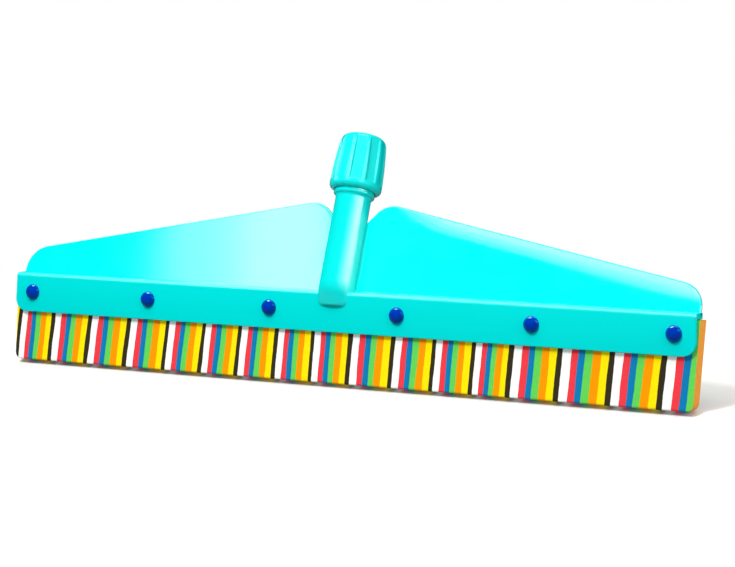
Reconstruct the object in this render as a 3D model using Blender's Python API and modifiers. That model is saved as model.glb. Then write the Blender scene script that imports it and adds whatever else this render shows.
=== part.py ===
# Floor squeegee head: a moulded plastic frame that leans back to a pole socket, a foam blade
# riveted behind its front flap, and a ribbed locking collar that grips the pole.
#
# Frame: X along the blade, -Y the front, +Z up. The origin is the middle of the blade's wiping
# edge, and the blade stands upright on it. All sizes are in metres.

from math import acos, atan, atan2, cos, hypot, pi, radians, sin, sqrt, tan

import bmesh
import bpy
from mathutils import Vector

MM = 0.001

# Blade: a strip of closed-cell foam, stood on edge.
BLADE_LENGTH = 458.4 * MM
BLADE_THICKNESS = 10.0 * MM
BLADE_HEIGHT = 51.4 * MM
BLADE_END_TAPER = 0.9 * MM
BLADE_CORNER_RADIUS = 4.5 * MM
BLADE_EDGE_BEVEL = 0.5 * MM

# Front flap and the ledge that covers the top of the blade.
CLEARANCE = 0.3 * MM
FLAP_TOP_LENGTH = BLADE_LENGTH - 3.2 * MM
FLAP_END_DRAFT = 0.7 * MM
FLAP_HEIGHT = 24.5 * MM
FLAP_THICKNESS = 2.5 * MM
FLAP_CORNER_RADIUS = 8.0 * MM
FLAP_EDGE_RADIUS = 0.7 * MM
LEDGE_THICKNESS = 3.6 * MM
LEDGE_EDGE_RADIUS = 1.3 * MM
LEDGE_FILLET_RADIUS = 1.6 * MM

# Wings: two tapering panels that lean back with the socket.
LEAN = radians(18.2)
WING_THICKNESS = 2.5 * MM
WING_SETBACK = 2.9 * MM
WING_END_INSET = 0.4 * MM
WING_APEX_HEIGHT = 60.1 * MM
WING_SLOPE = 0.197
WING_OUTER_RADIUS = 16.0 * MM
WING_INNER_RADIUS = 16.0 * MM
WING_INNER_CENTRE = 27.5 * MM
WING_NOTCH_ANGLE = radians(140)
WING_NOTCH_HALF = 7.7 * MM
WING_CROWN_WIDTH = 8.0 * MM
WING_CROWN_DROP = 1.0 * MM
WING_ROOT_DEPTH = 2.0 * MM

# Stiffening ribs on the back of each wing.
RIB_STATIONS = (66.0 * MM, 122.0 * MM, 178.0 * MM)
RIB_THICKNESS = 1.6 * MM
RIB_DEPTH = 3.4 * MM
RIB_TIP_DEPTH = 0.8 * MM
RIB_FOOT_RISE = 7.0 * MM
RIB_EDGE_GAP = 6.0 * MM

# Pole socket: a tube whose axis crosses the fold just in front of the blade's middle plane.
# Heights along it are measured from the fold.
SOCKET_FORWARD = 2.6 * MM
SOCKET_BORE_DIAMETER = 19.3 * MM
SOCKET_FOOT_WALL = 1.4 * MM
SOCKET_NECK_WALL = 1.1 * MM
SOCKET_SEAT_HEIGHT = 1.6 * MM
SOCKET_FLOOR = 3.6 * MM
NOSE_LENGTH = 9.4 * MM
NOSE_RADIUS = 5.5 * MM
NECK_RING_TOP = 61.3 * MM
NECK_RING_WIDTH = 2.7 * MM
NECK_RING_DIAMETER = 24.9 * MM
NECK_FLARE = 1.6 * MM
THREAD_DIAMETER = 24.0 * MM
MOUTH_HEIGHT = 80.0 * MM
MOUTH_CHAMFER = 0.4 * MM
SEAT_DIAMETER = 21.6 * MM
SEAT_DEPTH = 5.8 * MM

# Split collet that the collar squeezes on to the pole.
COLLET_BORE_DIAMETER = 19.25 * MM
COLLET_SKIRT_LENGTH = 5.2 * MM
COLLET_CONE_LENGTH = 12.2 * MM
COLLET_SHOULDER_DIAMETER = 23.4 * MM
COLLET_TIP_DIAMETER = 21.2 * MM
COLLET_SPLIT = 1.8 * MM
COLLET_SLIT = 1.0 * MM
COLLET_SLIT_COUNT = 3

# Locking collar.
COLLAR_GAP = 0.7 * MM
COLLAR_LENGTH = 34.3 * MM
COLLAR_BASE_DIAMETER = 31.6 * MM
COLLAR_BASE_RADIUS = 1.8 * MM
COLLAR_BASE_WIDTH = 4.6 * MM
COLLAR_TOP_DIAMETER = 28.2 * MM
COLLAR_TOP_RADIUS = 5.3 * MM
COLLAR_RIM_DIAMETER = 21.5 * MM
COLLAR_BARREL = 0.35 * MM
COLLAR_LIP_DIAMETER = 19.7 * MM
COLLAR_LIP_CHAMFER = 0.2 * MM
COLLAR_THREAD_GAP = 0.35 * MM
COLLAR_RIB_COUNT = 10
COLLAR_RIB_WIDTH = 2.4 * MM
COLLAR_RIB_PHASE = radians(6)
COLLAR_FLUTE_DEPTH = 1.05 * MM

# Clamp strip behind the foam, and the two-piece rivets through it all.
STRIP_THICKNESS = 2.5 * MM
STRIP_HEIGHT = 20.0 * MM
STRIP_CORNER_RADIUS = 6.0 * MM
RIVET_COUNT = 6
RIVET_END_MARGIN = 12.6 * MM
RIVET_DROP = 12.0 * MM
RIVET_HEAD_DIAMETER = 9.8 * MM
RIVET_HEAD_HEIGHT = 3.9 * MM
RIVET_SHANK_DIAMETER = 4.0 * MM
RIVET_CAP_HEIGHT = 3.4 * MM
RIVET_SOCKET_DEPTH = 2.4 * MM
RIVET_TIP_GAP = 0.4 * MM

# Colours of the materials.
TURQUOISE = (0.0, 0.72, 0.70, 1.0)
FOAM_ORANGE = (0.90, 0.45, 0.05, 1.0)
ROYAL_BLUE = (0.0, 0.02, 0.36, 1.0)
NATURAL_WHITE = (0.72, 0.72, 0.68, 1.0)
MOULDED_ROUGHNESS = 0.25
FOAM_ROUGHNESS = 0.8
RIVET_ROUGHNESS = 0.15
COLLET_ROUGHNESS = 0.4

# Resolution of round shapes: segments in a turn, and points on an arc.
TUBE_SEGMENTS = 48
COLLAR_SEGMENTS = 60
RIVET_SEGMENTS = 24
ARC_POINTS = 5
LONG_ARC_POINTS = 9
CROWN_STEPS = 3
MERGE = 0.01 * MM

# How far a joined piece reaches into its neighbour, and a cutter past what it cuts.
EMBED = 0.6 * MM
CHANNEL_EMBED = 1.0 * MM
FILLET_BITE = 0.05 * MM
OVERCUT = 10.0 * MM

# Planes and radii worked out from the values above.
FLAP_BACK_Y = -(BLADE_THICKNESS / 2 + CLEARANCE)
FLAP_FRONT_Y = FLAP_BACK_Y - FLAP_THICKNESS
LEDGE_UNDERSIDE = BLADE_HEIGHT + CLEARANCE
FOLD_HEIGHT = LEDGE_UNDERSIDE + LEDGE_THICKNESS
FLAP_BOTTOM = FOLD_HEIGHT - FLAP_HEIGHT
FLAP_HALF_TOP = FLAP_TOP_LENGTH / 2
RIVET_PITCH = (FLAP_TOP_LENGTH - 2 * RIVET_END_MARGIN) / (RIVET_COUNT - 1)
STRIP_FRONT_Y = BLADE_THICKNESS / 2 + CLEARANCE
STRIP_BACK_Y = STRIP_FRONT_Y + STRIP_THICKNESS
RIVET_HEIGHT = FOLD_HEIGHT - RIVET_DROP
SOCKET_AXIS_Y = -SOCKET_FORWARD
WING_FRONT_Y = SOCKET_AXIS_Y + WING_SETBACK / cos(LEAN)
WING_BACK_Y = WING_FRONT_Y + WING_THICKNESS / cos(LEAN)
WING_HALF_LENGTH = FLAP_HALF_TOP - WING_END_INSET
BORE_RADIUS = SOCKET_BORE_DIAMETER / 2
FOOT_RADIUS = BORE_RADIUS + SOCKET_FOOT_WALL
NECK_RADIUS = BORE_RADIUS + SOCKET_NECK_WALL
THREAD_RADIUS = THREAD_DIAMETER / 2
SEAT_RADIUS = SEAT_DIAMETER / 2
SOCKET_BASE = SOCKET_SEAT_HEIGHT + CLEARANCE
NOSE_CENTRE_HEIGHT = NOSE_RADIUS - NOSE_LENGTH
TAPER_TOP = NECK_RING_TOP - NECK_RING_WIDTH - NECK_FLARE
SHANK_HOLE_RADIUS = RIVET_SHANK_DIAMETER / 2 + CLEARANCE
SHOULDER_HEIGHT = MOUTH_HEIGHT + CLEARANCE
COLLET_TOP = SHOULDER_HEIGHT + COLLET_CONE_LENGTH
COLLAR_BOTTOM = NECK_RING_TOP + COLLAR_GAP
COLLAR_TOP = COLLAR_BOTTOM + COLLAR_LENGTH
COLLAR_RING_TOP = COLLAR_BOTTOM + COLLAR_BASE_WIDTH
COLLAR_TURN_IN = acos(1 - (COLLAR_TOP_DIAMETER - COLLAR_RIM_DIAMETER) / 2 / COLLAR_TOP_RADIUS)
COLLAR_CREST_TOP = COLLAR_TOP - COLLAR_TOP_RADIUS * sin(COLLAR_TURN_IN)


def clear_scene():
    """Remove the objects that Blender starts with."""
    for item in list(bpy.data.objects):
        bpy.data.objects.remove(item, do_unlink=True)


def new_collection(name):
    """Make a collection and link it to the scene."""
    made = bpy.data.collections.new(name)
    bpy.context.scene.collection.children.link(made)
    return made


def plastic(name, colour, roughness):
    """A Principled material for one sub-part."""
    made = bpy.data.materials.new(name)
    made.use_nodes = True
    shader = made.node_tree.nodes["Principled BSDF"]
    shader.inputs["Base Color"].default_value = colour
    shader.inputs["Roughness"].default_value = roughness
    shader.inputs["Metallic"].default_value = 0.0
    made.diffuse_color = colour
    return made


def arc(centre, radius, start, end, points=ARC_POINTS):
    """Points on an arc from one angle to another, both ends included."""
    step = (end - start) / (points - 1)
    return [(centre[0] + radius * cos(start + step * i), centre[1] + radius * sin(start + step * i))
            for i in range(points)]


def add_mesh(name, mesh, collection, parent=None):
    """Put a mesh in the scene as one object."""
    made = bpy.data.objects.new(name, mesh)
    collection.objects.link(made)
    made.parent = parent
    return made


def as_guide(item):
    """Mark an object that only cuts or joins others."""
    item.hide_render = True
    item.display_type = "WIRE"
    return item


def turned(name, profile, collection, parent=None, closed=False, segments=TUBE_SEGMENTS):
    """A turned solid: a profile of (radius, height) points swept round local Z."""
    mesh = bpy.data.meshes.new(name)
    count = len(profile)
    edges = [(i, i + 1) for i in range(count - 1)]
    if closed:
        edges.append((count - 1, 0))
    mesh.from_pydata([(radius, 0.0, height) for radius, height in profile], edges, [])
    made = add_mesh(name, mesh, collection, parent)
    screw = made.modifiers.new("Turn", "SCREW")
    screw.axis = "Z"
    screw.angle = 2 * pi
    screw.steps = segments
    screw.render_steps = segments
    screw.use_merge_vertices = True
    screw.merge_threshold = MERGE
    return made


def flat_solid(name, outline, thickness, collection, parent=None):
    """A closed outline in local XY made into a plate that is centred on local Z."""
    curve = bpy.data.curves.new(name, "CURVE")
    curve.dimensions = "2D"
    curve.fill_mode = "BOTH"
    curve.extrude = thickness / 2
    spline = curve.splines.new("POLY")
    spline.points.add(len(outline) - 1)
    for point, (x, y) in zip(spline.points, outline):
        point.co = (x, y, 0.0, 1.0)
    spline.use_cyclic_u = True
    sketch = bpy.data.objects.new(name + "_sketch", curve)
    collection.objects.link(sketch)
    depsgraph = bpy.context.evaluated_depsgraph_get()
    mesh = bpy.data.meshes.new_from_object(sketch.evaluated_get(depsgraph))
    bpy.data.objects.remove(sketch, do_unlink=True)
    work = bmesh.new()
    work.from_mesh(mesh)
    bmesh.ops.remove_doubles(work, verts=work.verts, dist=MERGE)
    bmesh.ops.dissolve_limit(work, angle_limit=radians(1), verts=work.verts, edges=work.edges)
    bmesh.ops.recalc_face_normals(work, faces=work.faces)
    work.to_mesh(mesh)
    work.free()
    return add_mesh(name, mesh, collection, parent)


def box(name, low, high, collection, parent=None):
    """A box between two corners."""
    mesh = bpy.data.meshes.new(name)
    work = bmesh.new()
    bmesh.ops.create_cube(work, size=1.0)
    bmesh.ops.scale(work, vec=Vector(high) - Vector(low), verts=work.verts)
    bmesh.ops.translate(work, vec=(Vector(high) + Vector(low)) / 2, verts=work.verts)
    work.to_mesh(mesh)
    work.free()
    return add_mesh(name, mesh, collection, parent)


def joined(name, items, collection):
    """Several separate solids as one guide object, in world space."""
    mesh = bpy.data.meshes.new(name)
    work = bmesh.new()
    depsgraph = bpy.context.evaluated_depsgraph_get()
    for item in items:
        solid = bpy.data.meshes.new_from_object(item.evaluated_get(depsgraph))
        solid.transform(item.matrix_world)
        work.from_mesh(solid)
        bpy.data.meshes.remove(solid)
    for item in items:
        bpy.data.objects.remove(item, do_unlink=True)
    work.to_mesh(mesh)
    work.free()
    return as_guide(add_mesh(name, mesh, collection))


def boolean(item, operation, other):
    """Cut or join an object with another by an exact Boolean."""
    made = item.modifiers.new(other.name, "BOOLEAN")
    made.operation = operation
    made.solver = "EXACT"
    made.object = as_guide(other)


def finish(item, material):
    """Apply a piece's modifiers, colour it, and shade it smooth apart from its sharp edges."""
    depsgraph = bpy.context.evaluated_depsgraph_get()
    mesh = bpy.data.meshes.new_from_object(item.evaluated_get(depsgraph))
    item.modifiers.clear()
    item.data = mesh
    mesh.name = item.name
    mesh.materials.clear()
    mesh.materials.append(material)
    mesh.shade_smooth()
    mesh.set_sharp_from_angle(angle=radians(30))
    return item


def tilted_empty(name, y, collection):
    """An empty at the fold whose local Z leans back along the socket."""
    made = bpy.data.objects.new(name, None)
    made.location = (0.0, y, FOLD_HEIGHT)
    made.rotation_euler = (-LEAN, 0.0, 0.0)
    made.empty_display_size = 20 * MM
    collection.objects.link(made)
    return made


def strip_outline(top, bottom, half_top, half_bottom, radius):
    """A strip in X and Z with straight, drafted ends and rounded lower corners."""
    draft = atan2(half_bottom - half_top, top - bottom)
    centre_x = half_bottom - radius * (1 + sin(draft)) / cos(draft)
    right = arc((centre_x, bottom + radius), radius, -pi / 2, draft, LONG_ARC_POINTS)
    left = [(-x, z) for x, z in reversed(right)]
    return [(-half_top, top)] + left + right + [(half_top, top)]


def upright(item, y=0.0):
    """Stand a solid sketched in XY up so that its sketch lies in X and Z."""
    item.rotation_euler = (pi / 2, 0.0, 0.0)
    item.location = (0.0, y, 0.0)
    return item


def lengthwise(item, x=0.0):
    """Turn a solid sketched in XY so that its sketch lies in Y and Z, and X runs through it."""
    item.rotation_euler = (pi / 2, 0.0, pi / 2)
    item.location = (x, 0.0, 0.0)
    return item


def rivet_stations():
    """Where the rivets stand along the blade."""
    first = -RIVET_PITCH * (RIVET_COUNT - 1) / 2
    return [first + RIVET_PITCH * i for i in range(RIVET_COUNT)]


def shank_holes(name, cutters):
    """A row of round cutters that clear the rivets' shanks."""
    pins = []
    for x in rivet_stations():
        profile = [(0.0, OVERCUT), (SHANK_HOLE_RADIUS, OVERCUT), (SHANK_HOLE_RADIUS, -OVERCUT),
                   (0.0, -OVERCUT)]
        pin = turned(name, profile, cutters, segments=RIVET_SEGMENTS)
        pin.rotation_euler = (pi / 2, 0.0, 0.0)
        pin.location = (x, 0.0, RIVET_HEIGHT)
        pins.append(pin)
    bpy.context.view_layer.update()
    return joined(name, pins, cutters)


def foam_blade(parts, holes):
    """The foam strip, with drafted ends and the rivets' holes."""
    half = BLADE_LENGTH / 2
    outline = strip_outline(BLADE_HEIGHT, 0.0, half, half - BLADE_END_TAPER, BLADE_CORNER_RADIUS)
    blade = upright(flat_solid("foam_blade", outline, BLADE_THICKNESS, parts))
    bevel = blade.modifiers.new("Soft edges", "BEVEL")
    bevel.width = BLADE_EDGE_BEVEL
    bevel.segments = 1
    bevel.limit_method = "ANGLE"
    boolean(blade, "DIFFERENCE", holes)
    return blade


def clamp_strip(parts, holes):
    """The plain strip that backs the foam."""
    half = WING_HALF_LENGTH
    outline = strip_outline(FLAP_BOTTOM + STRIP_HEIGHT, FLAP_BOTTOM, half, half,
                            STRIP_CORNER_RADIUS)
    middle = (STRIP_FRONT_Y + STRIP_BACK_Y) / 2
    strip = upright(flat_solid("rear_clamp_strip", outline, STRIP_THICKNESS, parts), middle)
    boolean(strip, "DIFFERENCE", holes)
    return strip


def flap_section():
    """The moulding's section in Y and Z: the flap, the ledge and the fillet up to the wings."""
    flap_toe = (FLAP_FRONT_Y + FLAP_EDGE_RADIUS, FLAP_BOTTOM + FLAP_EDGE_RADIUS)
    fold_edge = (FLAP_FRONT_Y + LEDGE_EDGE_RADIUS, FOLD_HEIGHT - LEDGE_EDGE_RADIUS)
    radius = LEDGE_FILLET_RADIUS
    fillet_y = WING_FRONT_Y - radius * (1 - sin(LEAN)) / cos(LEAN) + FILLET_BITE
    fillet = arc((fillet_y, FOLD_HEIGHT + radius), radius, -LEAN, -pi / 2)
    middle = WING_THICKNESS / 2
    root = (fillet[0][0] + middle * cos(LEAN), fillet[0][1] - middle * sin(LEAN))
    section = arc(flap_toe, FLAP_EDGE_RADIUS, pi, 3 * pi / 2)
    section += [(FLAP_BACK_Y, FLAP_BOTTOM), (FLAP_BACK_Y, LEDGE_UNDERSIDE)]
    section += [(WING_BACK_Y + CLEARANCE, LEDGE_UNDERSIDE), (WING_BACK_Y + CLEARANCE, FOLD_HEIGHT)]
    section += [(WING_FRONT_Y + middle, FOLD_HEIGHT), root]
    section += fillet
    section += arc(fold_edge, LEDGE_EDGE_RADIUS, pi / 2, pi)
    return section


def flap_and_ledge(parts, cutters):
    """The folded bar along the whole length, trimmed to the flap's outline."""
    bar = lengthwise(flat_solid("main_frame", flap_section(), FLAP_TOP_LENGTH + 2 * OVERCUT, parts))
    rise = OVERCUT
    half_top = FLAP_HALF_TOP - FLAP_END_DRAFT * rise / FLAP_HEIGHT
    outline = strip_outline(FOLD_HEIGHT + rise, FLAP_BOTTOM, half_top,
                            FLAP_HALF_TOP + FLAP_END_DRAFT, FLAP_CORNER_RADIUS)
    trim = upright(flat_solid("flap_outline", outline, 4 * OVERCUT, cutters))
    boolean(bar, "INTERSECT", trim)
    return bar


def wing_top(x):
    """Height of the wings' straight upper edge at a place along the blade."""
    return WING_APEX_HEIGHT - WING_SLOPE * abs(x)


def wing_outline(inset):
    """Both wings as one path, from the right foot over the top to the left foot, moved inwards."""
    slope_angle = pi / 2 - atan(WING_SLOPE)
    stretch = hypot(1.0, WING_SLOPE)
    outer_x = WING_HALF_LENGTH - WING_OUTER_RADIUS
    outer = (outer_x, wing_top(outer_x) - WING_OUTER_RADIUS * stretch)
    inner = (WING_INNER_CENTRE, wing_top(WING_INNER_CENTRE) - WING_INNER_RADIUS * stretch)
    edge = [(WING_HALF_LENGTH - inset, -WING_ROOT_DEPTH)]
    edge += arc(outer, WING_OUTER_RADIUS - inset, 0.0, slope_angle, LONG_ARC_POINTS)
    edge += arc(inner, WING_INNER_RADIUS - inset, slope_angle, WING_NOTCH_ANGLE, LONG_ARC_POINTS)
    last_x, last_h = edge[-1]
    fall = (last_x - WING_NOTCH_HALF) * tan(WING_NOTCH_ANGLE - pi / 2)
    edge.append((WING_NOTCH_HALF, last_h - fall))
    return edge + [(-x, h) for x, h in reversed(edge)]


def wing_panel(cutters, parent):
    """The panel of both wings, its upper edges and outer corners crowned back."""
    work = bmesh.new()
    rings = []
    for step in range(CROWN_STEPS + 1):
        share = step / CROWN_STEPS
        ring = []
        for x, h in wing_outline(WING_CROWN_WIDTH * share):
            fade = min(1.0, max(0.0, h / WING_CROWN_WIDTH))
            ring.append(work.verts.new((x, WING_CROWN_DROP * fade * (1 - share) ** 2, h)))
        rings.append(ring)
    for outside, inside in zip(rings, rings[1:]):
        for i in range(len(outside) - 1):
            work.faces.new((outside[i], outside[i + 1], inside[i + 1], inside[i]))
    work.faces.new(rings[-1])
    bmesh.ops.recalc_face_normals(work, faces=work.faces)
    if sum(face.normal.y * face.calc_area() for face in work.faces) > 0:
        bmesh.ops.reverse_faces(work, faces=work.faces)
    mesh = bpy.data.meshes.new("wing_panel")
    work.to_mesh(mesh)
    work.free()
    panel = add_mesh("wing_panel", mesh, cutters, parent)
    shell = panel.modifiers.new("Wall", "SOLIDIFY")
    shell.thickness = WING_THICKNESS
    shell.offset = -1.0
    return panel


def wing_ribs(cutters, parent):
    """Upright ribs behind the wings, deepest at the ledge."""
    ribs = []
    for x in RIB_STATIONS + tuple(-station for station in RIB_STATIONS):
        top = wing_top(x) - RIB_EDGE_GAP
        back = WING_THICKNESS
        outline = [(back - EMBED, -EMBED), (back, -EMBED), (back + RIB_DEPTH, RIB_FOOT_RISE),
                   (back + RIB_TIP_DEPTH, top), (back - EMBED, top)]
        ribs.append(lengthwise(flat_solid("rib", outline, RIB_THICKNESS, cutters, parent), x))
    bpy.context.view_layer.update()
    return joined("wing_ribs", ribs, cutters)


def tube_radius(height):
    """The socket's outer radius at a height, between the nose and the neck ring."""
    share = (height - NOSE_CENTRE_HEIGHT) / (TAPER_TOP - NOSE_CENTRE_HEIGHT)
    return FOOT_RADIUS + (NECK_RADIUS - FOOT_RADIUS) * share


def pole_socket(parts, parent):
    """The hollow socket: bore, collet seat, thread, neck ring and taper, down to its flat base."""
    ring_radius = NECK_RING_WIDTH / 2
    ring = (NECK_RING_DIAMETER / 2 - ring_radius, NECK_RING_TOP - ring_radius)
    over_thread = (THREAD_RADIUS - ring[0]) / ring_radius
    ring_start = atan2(sqrt(1 - over_thread ** 2), over_thread)
    seat_floor = MOUTH_HEIGHT - SEAT_DEPTH
    profile = [(0.0, SOCKET_FLOOR), (BORE_RADIUS, SOCKET_FLOOR), (BORE_RADIUS, seat_floor),
               (SEAT_RADIUS, seat_floor), (SEAT_RADIUS, MOUTH_HEIGHT),
               (THREAD_RADIUS - MOUTH_CHAMFER, MOUTH_HEIGHT),
               (THREAD_RADIUS, MOUTH_HEIGHT - MOUTH_CHAMFER)]
    profile += arc(ring, ring_radius, ring_start, -pi / 2, LONG_ARC_POINTS)
    profile += [(NECK_RADIUS, TAPER_TOP), (tube_radius(SOCKET_BASE), SOCKET_BASE), (0.0, SOCKET_BASE)]
    return turned("pole_socket", profile, parts, parent)


def socket_nose(cutters, parent):
    """The solid foot of the socket with its rounded nose, which belongs to the frame."""
    nose = (FOOT_RADIUS - NOSE_RADIUS, NOSE_CENTRE_HEIGHT)
    top = SOCKET_BASE + EMBED
    profile = [(0.0, top), (tube_radius(top), top)]
    profile += arc(nose, NOSE_RADIUS, 0.0, -pi / 2, LONG_ARC_POINTS)
    profile += [(0.0, -NOSE_LENGTH)]
    return turned("socket_nose", profile, cutters, parent)


def socket_seat(cutters, parent):
    """The clearance that the socket stands in, cut out of the wings, the ledge and the foot."""
    ring_low = NECK_RING_TOP - NECK_RING_WIDTH - CLEARANCE
    ring_reach = NECK_RING_DIAMETER / 2 + CLEARANCE
    profile = [(0.0, NECK_RING_TOP), (ring_reach, NECK_RING_TOP), (ring_reach, ring_low),
               (NECK_RADIUS + CLEARANCE, TAPER_TOP - CLEARANCE),
               (tube_radius(SOCKET_SEAT_HEIGHT) + CLEARANCE, SOCKET_SEAT_HEIGHT),
               (0.0, SOCKET_SEAT_HEIGHT)]
    return turned("socket_seat", profile, cutters, parent)


def main_frame(parts, cutters, holes):
    """The moulding: flap, ledge, wings and the foot that the pole socket stands on."""
    frame = flap_and_ledge(parts, cutters)
    wing_plane = tilted_empty("wing_plane", WING_FRONT_Y, cutters)
    socket_line = tilted_empty("socket_line", SOCKET_AXIS_Y, cutters)
    bpy.context.view_layer.update()
    boolean(frame, "UNION", wing_panel(cutters, wing_plane))
    boolean(frame, "UNION", wing_ribs(cutters, wing_plane))
    nose = socket_nose(cutters, socket_line)
    low = (-FOOT_RADIUS - OVERCUT, FLAP_BACK_Y - EMBED, FLAP_BOTTOM)
    high = (FOOT_RADIUS + OVERCUT, FOOT_RADIUS + OVERCUT, LEDGE_UNDERSIDE + CHANNEL_EMBED)
    boolean(nose, "DIFFERENCE", box("blade_channel", low, high, cutters))
    boolean(frame, "UNION", nose)
    boolean(frame, "DIFFERENCE", socket_seat(cutters, socket_line))
    boolean(frame, "DIFFERENCE", holes)
    return frame


def dome(radius, height, base):
    """A shallow dome's profile from its crown on the axis to its rim at the base."""
    sphere = (radius ** 2 + height ** 2) / (2 * height)
    rim = atan2(sphere - height, radius)
    return arc((0.0, base + height - sphere), sphere, pi / 2, rim, LONG_ARC_POINTS - 2)


def rivet(name, x, parts):
    """A dome-headed stud whose shank runs through the flap, the foam and the strip."""
    shank = RIVET_SHANK_DIAMETER / 2
    seat_y = FLAP_FRONT_Y - CLEARANCE
    tip_y = STRIP_BACK_Y + CLEARANCE + RIVET_SOCKET_DEPTH - RIVET_TIP_GAP
    tip = -(tip_y - seat_y)
    profile = dome(RIVET_HEAD_DIAMETER / 2, RIVET_HEAD_HEIGHT, 0.0)
    profile += [(shank, 0.0), (shank, tip), (0.0, tip)]
    stud = turned(name, profile, parts, segments=RIVET_SEGMENTS)
    stud.rotation_euler = (pi / 2, 0.0, 0.0)
    stud.location = (x, seat_y, RIVET_HEIGHT)
    return stud


def rivet_cap(name, x, parts):
    """The domed cap that snaps over the stud's tip behind the strip."""
    radius = SHANK_HOLE_RADIUS
    profile = dome(RIVET_HEAD_DIAMETER / 2, RIVET_CAP_HEIGHT, 0.0)
    profile += [(radius, 0.0), (radius, RIVET_SOCKET_DEPTH), (0.0, RIVET_SOCKET_DEPTH)]
    cap = turned(name, profile, parts, segments=RIVET_SEGMENTS)
    cap.rotation_euler = (-pi / 2, 0.0, 0.0)
    cap.location = (x, STRIP_BACK_Y + CLEARANCE, RIVET_HEIGHT)
    return cap


def split_collet(parts, cutters, parent):
    """The split ring between the socket's mouth and the collar's cone."""
    bore = COLLET_BORE_DIAMETER / 2
    skirt = SEAT_RADIUS - CLEARANCE
    bottom = SHOULDER_HEIGHT - COLLET_SKIRT_LENGTH
    profile = [(COLLET_TIP_DIAMETER / 2, COLLET_TOP), (COLLET_SHOULDER_DIAMETER / 2, SHOULDER_HEIGHT),
               (skirt, SHOULDER_HEIGHT), (skirt, bottom), (bore, bottom), (bore, COLLET_TOP)]
    collet = turned("split_collet", profile, parts, parent, closed=True)
    half = COLLET_SPLIT / 2
    split = box("collet_split", (-half, 0.0, bottom - OVERCUT),
                (half, SEAT_RADIUS + OVERCUT, COLLET_TOP + OVERCUT), cutters, parent)
    boolean(collet, "DIFFERENCE", split)
    slits = []
    for i in range(COLLET_SLIT_COUNT):
        half = COLLET_SLIT / 2
        slit = box("collet_slit", (-half, 0.0, SHOULDER_HEIGHT + COLLET_SLIT),
                   (half, SEAT_RADIUS + OVERCUT, COLLET_TOP + OVERCUT), cutters, parent)
        slit.rotation_euler = (0.0, 0.0, 2 * pi * (i + 1) / (COLLET_SLIT_COUNT + 1))
        slits.append(slit)
    bpy.context.view_layer.update()
    boolean(collet, "DIFFERENCE", joined("collet_slits", slits, cutters))
    return collet


def collar_crest(share):
    """Radius of the collar's ribs at a share of the way from the base ring to the top rounding."""
    base, top = COLLAR_BASE_DIAMETER / 2, COLLAR_TOP_DIAMETER / 2
    return base + (top - base) * share + 4 * COLLAR_BARREL * share * (1 - share)


def collar_flutes(cutters, parent):
    """Flat-bottomed cuts that leave the ribs standing between them."""
    run = COLLAR_CREST_TOP - COLLAR_RING_TOP
    fall = COLLAR_BASE_DIAMETER / 2 - COLLAR_TOP_DIAMETER / 2
    depth = COLLAR_FLUTE_DEPTH
    pitch = 2 * pi / COLLAR_RIB_COUNT
    width = 2 * collar_crest(0.5) * sin(pitch / 2) - COLLAR_RIB_WIDTH
    flutes = []
    for i in range(COLLAR_RIB_COUNT):
        flute = box("collar_flute", (-width / 2, -OVERCUT, 0.0), (width / 2, 0.0, run + OVERCUT),
                    cutters, parent)
        turn = COLLAR_RIB_PHASE + pitch * (i + 0.5)
        reach = COLLAR_BASE_DIAMETER / 2 - depth
        flute.location = (reach * sin(turn), -reach * cos(turn), COLLAR_RING_TOP)
        flute.rotation_euler = (-atan(fall / run), 0.0, turn)
        flutes.append(flute)
    bpy.context.view_layer.update()
    return joined("collar_flutes", flutes, cutters)


def locking_collar(parts, cutters, parent):
    """The ribbed collar: thread chamber below, cone over the collet, lip round the pole."""
    base = COLLAR_BASE_DIAMETER / 2
    top = COLLAR_TOP_DIAMETER / 2
    lip = COLLAR_LIP_DIAMETER / 2
    chamber = THREAD_RADIUS + COLLAR_THREAD_GAP
    run = COLLAR_CREST_TOP - COLLAR_RING_TOP
    profile = [(lip + COLLAR_LIP_CHAMFER, COLLAR_TOP)]
    profile += arc((top - COLLAR_TOP_RADIUS, COLLAR_CREST_TOP), COLLAR_TOP_RADIUS,
                   COLLAR_TURN_IN, 0.0)
    for step in range(1, ARC_POINTS):
        share = 1 - step / (ARC_POINTS - 1)
        profile.append((collar_crest(share), COLLAR_RING_TOP + run * share))
    profile += arc((base - COLLAR_BASE_RADIUS, COLLAR_BOTTOM + COLLAR_BASE_RADIUS),
                   COLLAR_BASE_RADIUS, 0.0, -pi / 2)
    profile += [(chamber, COLLAR_BOTTOM), (chamber, SHOULDER_HEIGHT),
                (COLLET_SHOULDER_DIAMETER / 2 + CLEARANCE, SHOULDER_HEIGHT + CLEARANCE),
                (COLLET_TIP_DIAMETER / 2 + CLEARANCE, COLLET_TOP + CLEARANCE),
                (lip, COLLET_TOP + CLEARANCE), (lip, COLLAR_TOP - COLLAR_LIP_CHAMFER)]
    collar = turned("locking_collar", profile, parts, parent, closed=True,
                    segments=COLLAR_SEGMENTS)
    boolean(collar, "DIFFERENCE", collar_flutes(cutters, parent))
    return collar


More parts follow.
